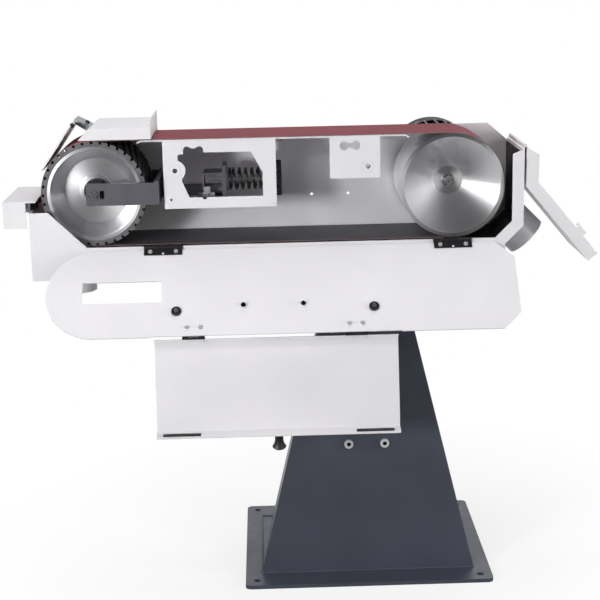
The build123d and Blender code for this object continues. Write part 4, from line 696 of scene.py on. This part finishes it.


# Tension spring: a wound wire in place of the spring's solid
def build_spring():
    low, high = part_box("tension_spring")
    middle = (low + high) / 2
    wire = SPRING_WIRE * MM
    radius = (high.y - low.y) / 2 - wire
    start = low.x + wire
    end = high.x - wire
    open_turns = SPRING_TURNS - 2 * SPRING_END_TURNS
    open_run = end - start - 2 * SPRING_END_TURNS * 2 * wire * SPRING_END_RISE
    points = []
    for step in range(SPRING_TURNS * SPRING_STEPS + 1):
        turn = step / SPRING_STEPS
        share = min(1.0, max(0.0, (turn - SPRING_END_TURNS) / open_turns))
        lead = min(turn, SPRING_END_TURNS) * 2 * wire * SPRING_END_RISE
        tail = max(0.0, turn - SPRING_TURNS + SPRING_END_TURNS) * 2 * wire * SPRING_END_RISE
        angle = 2 * math.pi * turn
        x = start + lead + tail + open_run * share
        y = middle.y + radius * math.cos(angle)
        z = middle.z + radius * math.sin(angle)
        points.append(Vector((x, y, z)))
    bm = bmesh.new()
    add_tube(bm, points, wire, SPRING_SIDES)
    spring = mesh_piece("tension_spring_wire", bm, "frame", "spring_steel", finishes["spring_steel"])
    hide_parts("tension_spring")
    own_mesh(spring)


# Small fasteners, rims, plugs and the weld bead
def add_screw(bm, spot, way, size, cover=None):
    """Screw head standing on a spot; cover turns it with an open cover."""
    radius, height = size
    profile = [(radius * across, height * up) for across, up in HEAD_PROFILE]
    place = axis_matrix(head(*spot), way)
    add_lathe(bm, profile, cover @ place if cover else place, HEAD_SIDES)


def build_frame_screws():
    """Screws of the terminal box, the fan cowl and the switch box."""
    bm = bmesh.new()
    # The terminal box is as deep below the motor's axis as it is high above it, and its gland hangs lower
    low, high = node_box("terminal_box")
    for y in inset(low.y, high.y, TERMINAL_SCREW_INSET):
        for z in inset(-high.z, high.z, TERMINAL_SCREW_INSET):
            add_screw(bm, (high.x, y, z), ASIDE, TERMINAL_SCREW)
    low, high = node_box("fan_cowl")
    radius = (high.x - low.x) / 2
    middle = Vector((joint_spot("drive_spin").x, low.y + COWL_SCREW_INSET, 0.0))
    for step in range(COWL_SCREWS):
        angle = 2 * math.pi * (step + COWL_SCREW_START) / COWL_SCREWS
        way = Vector((math.cos(angle), 0.0, math.sin(angle)))
        add_screw(bm, middle + way * radius, way, COWL_SCREW)
    low, high = node_box("switch_box")
    for x in inset(low.x, high.x, SWITCH_SCREW_INSET_X):
        for z in inset(low.z, high.z, SWITCH_SCREW_INSET_Z):
            add_screw(bm, (x, low.y, z), FORWARD, SWITCH_SCREW)
    sharpen(mesh_piece("frame_screws", bm, "frame", "zinc_steel", finishes["zinc_steel"]))


def build_hinge_rivets():
    """One rivet on each hinge leaf of the door."""
    bm = bmesh.new()
    cover = opened("door_swing")
    low, high = node_box("door_leaves")
    for x in inset(low.x, high.x, DOOR_HINGE_LENGTH / 2):
        spot = (x, joint_spot("door_swing").y + DOOR_LEAF, DOOR_RIVET_Z)
        add_screw(bm, spot, BACKWARD, DOOR_RIVET, cover)
    sharpen(mesh_piece("hinge_rivets", bm, "door", "housing_paint", finishes["housing_paint"]))


def build_flap_screws():
    """Two screws beside each other on each hinge of the flap."""
    bm = bmesh.new()
    cover = opened("flap_swing") @ opened("door_swing")
    low, high = node_box("flap_leaves")
    for middle in inset(low.x, high.x, FLAP_HINGE_LENGTH / 2):
        for x in (middle - FLAP_SCREW_SPREAD, middle + FLAP_SCREW_SPREAD):
            add_screw(bm, (x, FLAP_INNER, FLAP_SCREW_Z), BACKWARD, FLAP_SCREW, cover)
    sharpen(mesh_piece("flap_hinge_screws", bm, "flap", "zinc_steel", screw_finish))


def build_guard_screws():
    """Caps on the ends of the spark guard's pin, and the screw on top of its bracket."""
    bm = bmesh.new()
    low, high = node_box("guard_bracket")
    hinge = joint_spot("spark_guard_swing")
    for y, way in ((low.y, FORWARD), (high.y, BACKWARD)):
        add_screw(bm, (hinge.x, y, hinge.z), way, SPARK_PIN_CAP)
    add_screw(bm, BRACKET_SCREW, BRACKET_UP, BRACKET_CAP)
    sharpen(mesh_piece("guard_screws", bm, "frame", "black_steel", finishes["black_steel"]))


def add_ring(bm, middle, radius, wire):
    """Closed round bead in the plane of the front plates."""
    points = []
    for step in range(SEAT_STEPS):
        angle = 2 * math.pi * step / SEAT_STEPS
        x = middle[0] + radius * math.cos(angle)
        z = middle[2] + radius * math.sin(angle)
        points.append(head(x, middle[1], z))
    add_tube(bm, points, wire * MM, BEAD_SIDES, closed=True)


def build_seat_rims():
    """Rims of the pressed seats in the front plates, in line with the door's lock screws."""
    bm = bmesh.new()
    face = node_box("platen")[0].y
    for lock in ("lock_left_slide", "lock_right_slide"):
        add_ring(bm, (joint_spot(lock).x, face, SEAT_Z), SEAT_RADIUS, SEAT_WIRE)
    mesh_piece("seat_rims", bm, "frame", "stub_paint", finishes["stub_paint"])


def build_panel_plugs():
    """Plugs in two holes of the back panel."""
    low, high = node_box("back_panel")
    sheet = high.y - low.y
    profile = [
        (0.0, -sheet),
        (PLUG_RADIUS, -sheet),
        (PLUG_RADIUS, 0.0),
        (PLUG_RADIUS * 0.8, PLUG_RISE),
        (PLUG_RADIUS * 0.45, PLUG_RISE),
        (PLUG_RADIUS * 0.4, -PLUG_RECESS),
        (0.0, -PLUG_RECESS),
    ]
    bm = bmesh.new()
    for x, z in PANEL_PLUGS:
        add_lathe(bm, profile, axis_matrix(head(x, low.y, z), FORWARD), PLUG_SIDES)
    sharpen(mesh_piece("panel_plugs", bm, "frame", "housing_paint", finishes["housing_paint"]))


def add_bead(bm, corners):
    """Weld bead along a closed line, with the ripples that a run leaves."""
    points = []
    for start, end in zip(corners, corners[1:] + corners[:1]):
        steps = max(1, round((end - start).length / (WELD_RIPPLE * MM)))
        points += [start.lerp(end, step / steps) for step in range(steps)]
    add_tube(bm, points, WELD_WIRE * MM, BEAD_SIDES, closed=True)
    for index, vertex in enumerate(bm.verts):
        ring = index // BEAD_SIDES
        middle = points[ring]
        swell = 1.0 + WELD_SWELL * math.sin(ring * WELD_PHASE)
        vertex.co = middle + (vertex.co - middle) * swell


def build_bead():
    """Weld round the column's foot on the base plate."""
    low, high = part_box("stand_column")
    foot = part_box("stand_base_plate")[1].z
    outline = ((low.x, low.y), (high.x, low.y), (high.x, high.y), (low.x, high.y))
    bm = bmesh.new()
    add_bead(bm, [Vector((x, y, foot)) for x, y in outline])
    mesh_piece("column_weld", bm, "frame", "stand_paint", finishes["stand_paint"])


# Studio: pale floor, white surround, soft boxes, and cards that only mirrors see
def add_node(tree, kind, inputs=(), **settings):
    """Adds a node and fills its inputs, each a number, a colour or another node's output."""
    node = tree.nodes.new(kind)
    for key, value in settings.items():
        setattr(node, key, value)
    for name, value in inputs:
        if isinstance(value, bpy.types.NodeSocket):
            tree.links.new(value, node.inputs[name])
        else:
            node.inputs[name].default_value = value
    return node


def ramp(tree, value, reach, low=0.0, high=1.0):
    """Rises from low to high while the value passes through its reach."""
    start, end = reach
    inputs = (("Value", value), ("From Min", start), ("From Max", end), ("To Min", low), ("To Max", high))
    return add_node(tree, "ShaderNodeMapRange", inputs).outputs["Result"]


def mix_shaders(tree, factor, first, second):
    inputs = ((0, factor), (1, first.outputs[0]), (2, second.outputs[0]))
    return add_node(tree, "ShaderNodeMixShader", inputs)


def mirror_rays(tree, light_path):
    """One for rays that a mirror or a pane sends out, zero for others."""
    rays = ((0, light_path.outputs["Is Glossy Ray"]), (1, light_path.outputs["Is Transmission Ray"]))
    return add_node(tree, "ShaderNodeMath", rays, operation="MAXIMUM").outputs[0]


def floor_material():
    """Pale floor that fades into the white surround; mirrors see it dim in front and pale behind."""
    material = bpy.data.materials.new("studio_floor")
    material.use_nodes = True
    tree = material.node_tree
    tree.nodes.clear()
    light_path = add_node(tree, "ShaderNodeLightPath")
    place = add_node(tree, "ShaderNodeTexCoord").outputs["Object"]
    away = add_node(tree, "ShaderNodeVectorMath", ((0, place),), operation="LENGTH").outputs["Value"]
    depth = add_node(tree, "ShaderNodeSeparateXYZ", ((0, place),)).outputs["Y"]
    glow = add_node(tree, "ShaderNodeEmission", (("Strength", FLOOR_GLOW),))
    matte = add_node(tree, "ShaderNodeBsdfDiffuse", (("Color", (*FLOOR_MATTE, 1.0)),))
    near = add_node(tree, "ShaderNodeAddShader", ((0, glow.outputs[0]), (1, matte.outputs[0])))
    far = add_node(tree, "ShaderNodeEmission")
    shown = mix_shaders(tree, ramp(tree, away, FLOOR_FADE), near, far)
    dim = ramp(tree, depth, FLOOR_MIRROR_DEPTHS, ROOM_LEVEL, FLOOR_MIRROR_LEVEL)
    mirrored = add_node(tree, "ShaderNodeEmission", (("Strength", dim),))
    bounce = add_node(tree, "ShaderNodeBsdfDiffuse", (("Color", (*FLOOR_BOUNCE, 1.0)),))
    indirect = mix_shaders(tree, mirror_rays(tree, light_path), bounce, mirrored)
    final = mix_shaders(tree, light_path.outputs["Is Camera Ray"], indirect, shown)
    add_node(tree, "ShaderNodeOutputMaterial", (("Surface", final.outputs[0]),))
    return material


def build_floor():
    half = FLOOR_HALF
    mesh = bpy.data.meshes.new("floor")
    corners = [(-half, -half, 0.0), (half, -half, 0.0), (half, half, 0.0), (-half, half, 0.0)]
    mesh.from_pydata(corners, [], [(0, 1, 2, 3)])
    mesh.materials.append(floor_material())
    floor = bpy.data.objects.new("floor", mesh)
    bpy.context.scene.collection.objects.link(floor)


def build_world():
    """White to the camera; mirrors see a white backdrop behind the machine and a dim room in front."""
    world = bpy.data.worlds.new("studio")
    bpy.context.scene.world = world
    world.use_nodes = True
    tree = world.node_tree
    light_path = add_node(tree, "ShaderNodeLightPath")
    way = add_node(tree, "ShaderNodeTexCoord").outputs["Generated"]
    parts = add_node(tree, "ShaderNodeSeparateXYZ", ((0, way),))
    backdrop = ramp(tree, parts.outputs["Y"], BACKDROP_RISE, low=ROOM_LEVEL)
    indirect = add_node(tree, "ShaderNodeMix", (
        ("Factor", mirror_rays(tree, light_path)), ("A", AMBIENT_LEVEL), ("B", backdrop)))
    level = add_node(tree, "ShaderNodeMix", (
        ("Factor", light_path.outputs["Is Camera Ray"]), ("A", indirect.outputs["Result"]), ("B", 1.0)))
    background = tree.nodes["Background"]
    background.inputs["Color"].default_value = (1.0, 1.0, 1.0, 1.0)
    tree.links.new(level.outputs["Result"], background.inputs["Strength"])


def add_light(name, place, size, power, mirrored=True, lights=True):
    """Soft box that faces the machine's head and isn't seen itself; a card is seen by mirrors alone."""
    light = bpy.data.lights.new(name, "AREA")
    light.shape = "RECTANGLE"
    light.size, light.size_y = size
    light.energy = power
    lamp = bpy.data.objects.new(name, light)
    lamp.location = place
    lamp.rotation_euler = (LIGHT_TARGET - Vector(place)).to_track_quat("-Z", "Y").to_euler()
    lamp.visible_camera = False
    lamp.visible_glossy = mirrored
    lamp.visible_diffuse = lights
    bpy.context.scene.collection.objects.link(lamp)


def build_lights():
    add_light("key_box", place=(-1.95, -2.48, 1.0), size=(0.5, 0.5), power=43.0)
    add_light("high_box", place=(-1.2, -2.0, 2.8), size=(0.9, 0.7), power=22.0, mirrored=False)
    add_light("left_card", place=(-2.1, -2.0, 1.0), size=(1.2, 1.4), power=32.0, lights=False)
    add_light("right_box", place=(1.9, -2.3, 1.65), size=(0.35, 0.35), power=12.0, mirrored=False)
    add_light("right_card", place=(2.1, -2.1, 0.9), size=(1.2, 1.4), power=40.0, lights=False)
    add_light("side_box", place=(2.6, -0.9, 0.8), size=(0.7, 0.7), power=34.0, mirrored=False)
    add_light("top_box", place=(-0.1, 0.15, 3.1), size=(1.6, 1.0), power=30.0, mirrored=False)
    add_light("rear_box", place=(0.9, 2.4, 2.4), size=(2.0, 1.2), power=11.0)


def build_camera():
    """Camera at the photograph's place, turned and rolled as it was."""
    yaw = math.radians(CAMERA_YAW)
    pitch = math.radians(CAMERA_PITCH)
    roll = math.radians(CAMERA_ROLL)
    forward = Vector((math.sin(yaw) * math.cos(pitch), math.cos(yaw) * math.cos(pitch), -math.sin(pitch)))
    level_right = Vector((math.cos(yaw), -math.sin(yaw), 0.0))
    level_down = forward.cross(level_right)
    right = level_right * math.cos(roll) + level_down * math.sin(roll)
    up = level_right * math.sin(roll) - level_down * math.cos(roll)
    data = bpy.data.cameras.new("photo_camera")
    data.lens = CAMERA_LENS
    data.sensor_width = CAMERA_SENSOR
    camera = bpy.data.objects.new("photo_camera", data)
    turn = Matrix((right, up, -forward)).transposed().to_4x4()
    camera.matrix_world = Matrix.Translation(head(*CAMERA_PLACE)) @ turn
    bpy.context.scene.collection.objects.link(camera)
    bpy.context.scene.camera = camera


dress_nodes()
build_belt()
build_spring()
build_frame_screws()
build_hinge_rivets()
build_flap_screws()
build_guard_screws()
build_seat_rims()
build_panel_plugs()
build_bead()
build_floor()
build_world()
build_lights()
build_camera()
bpy.context.scene.view_settings.view_transform = "Standard"
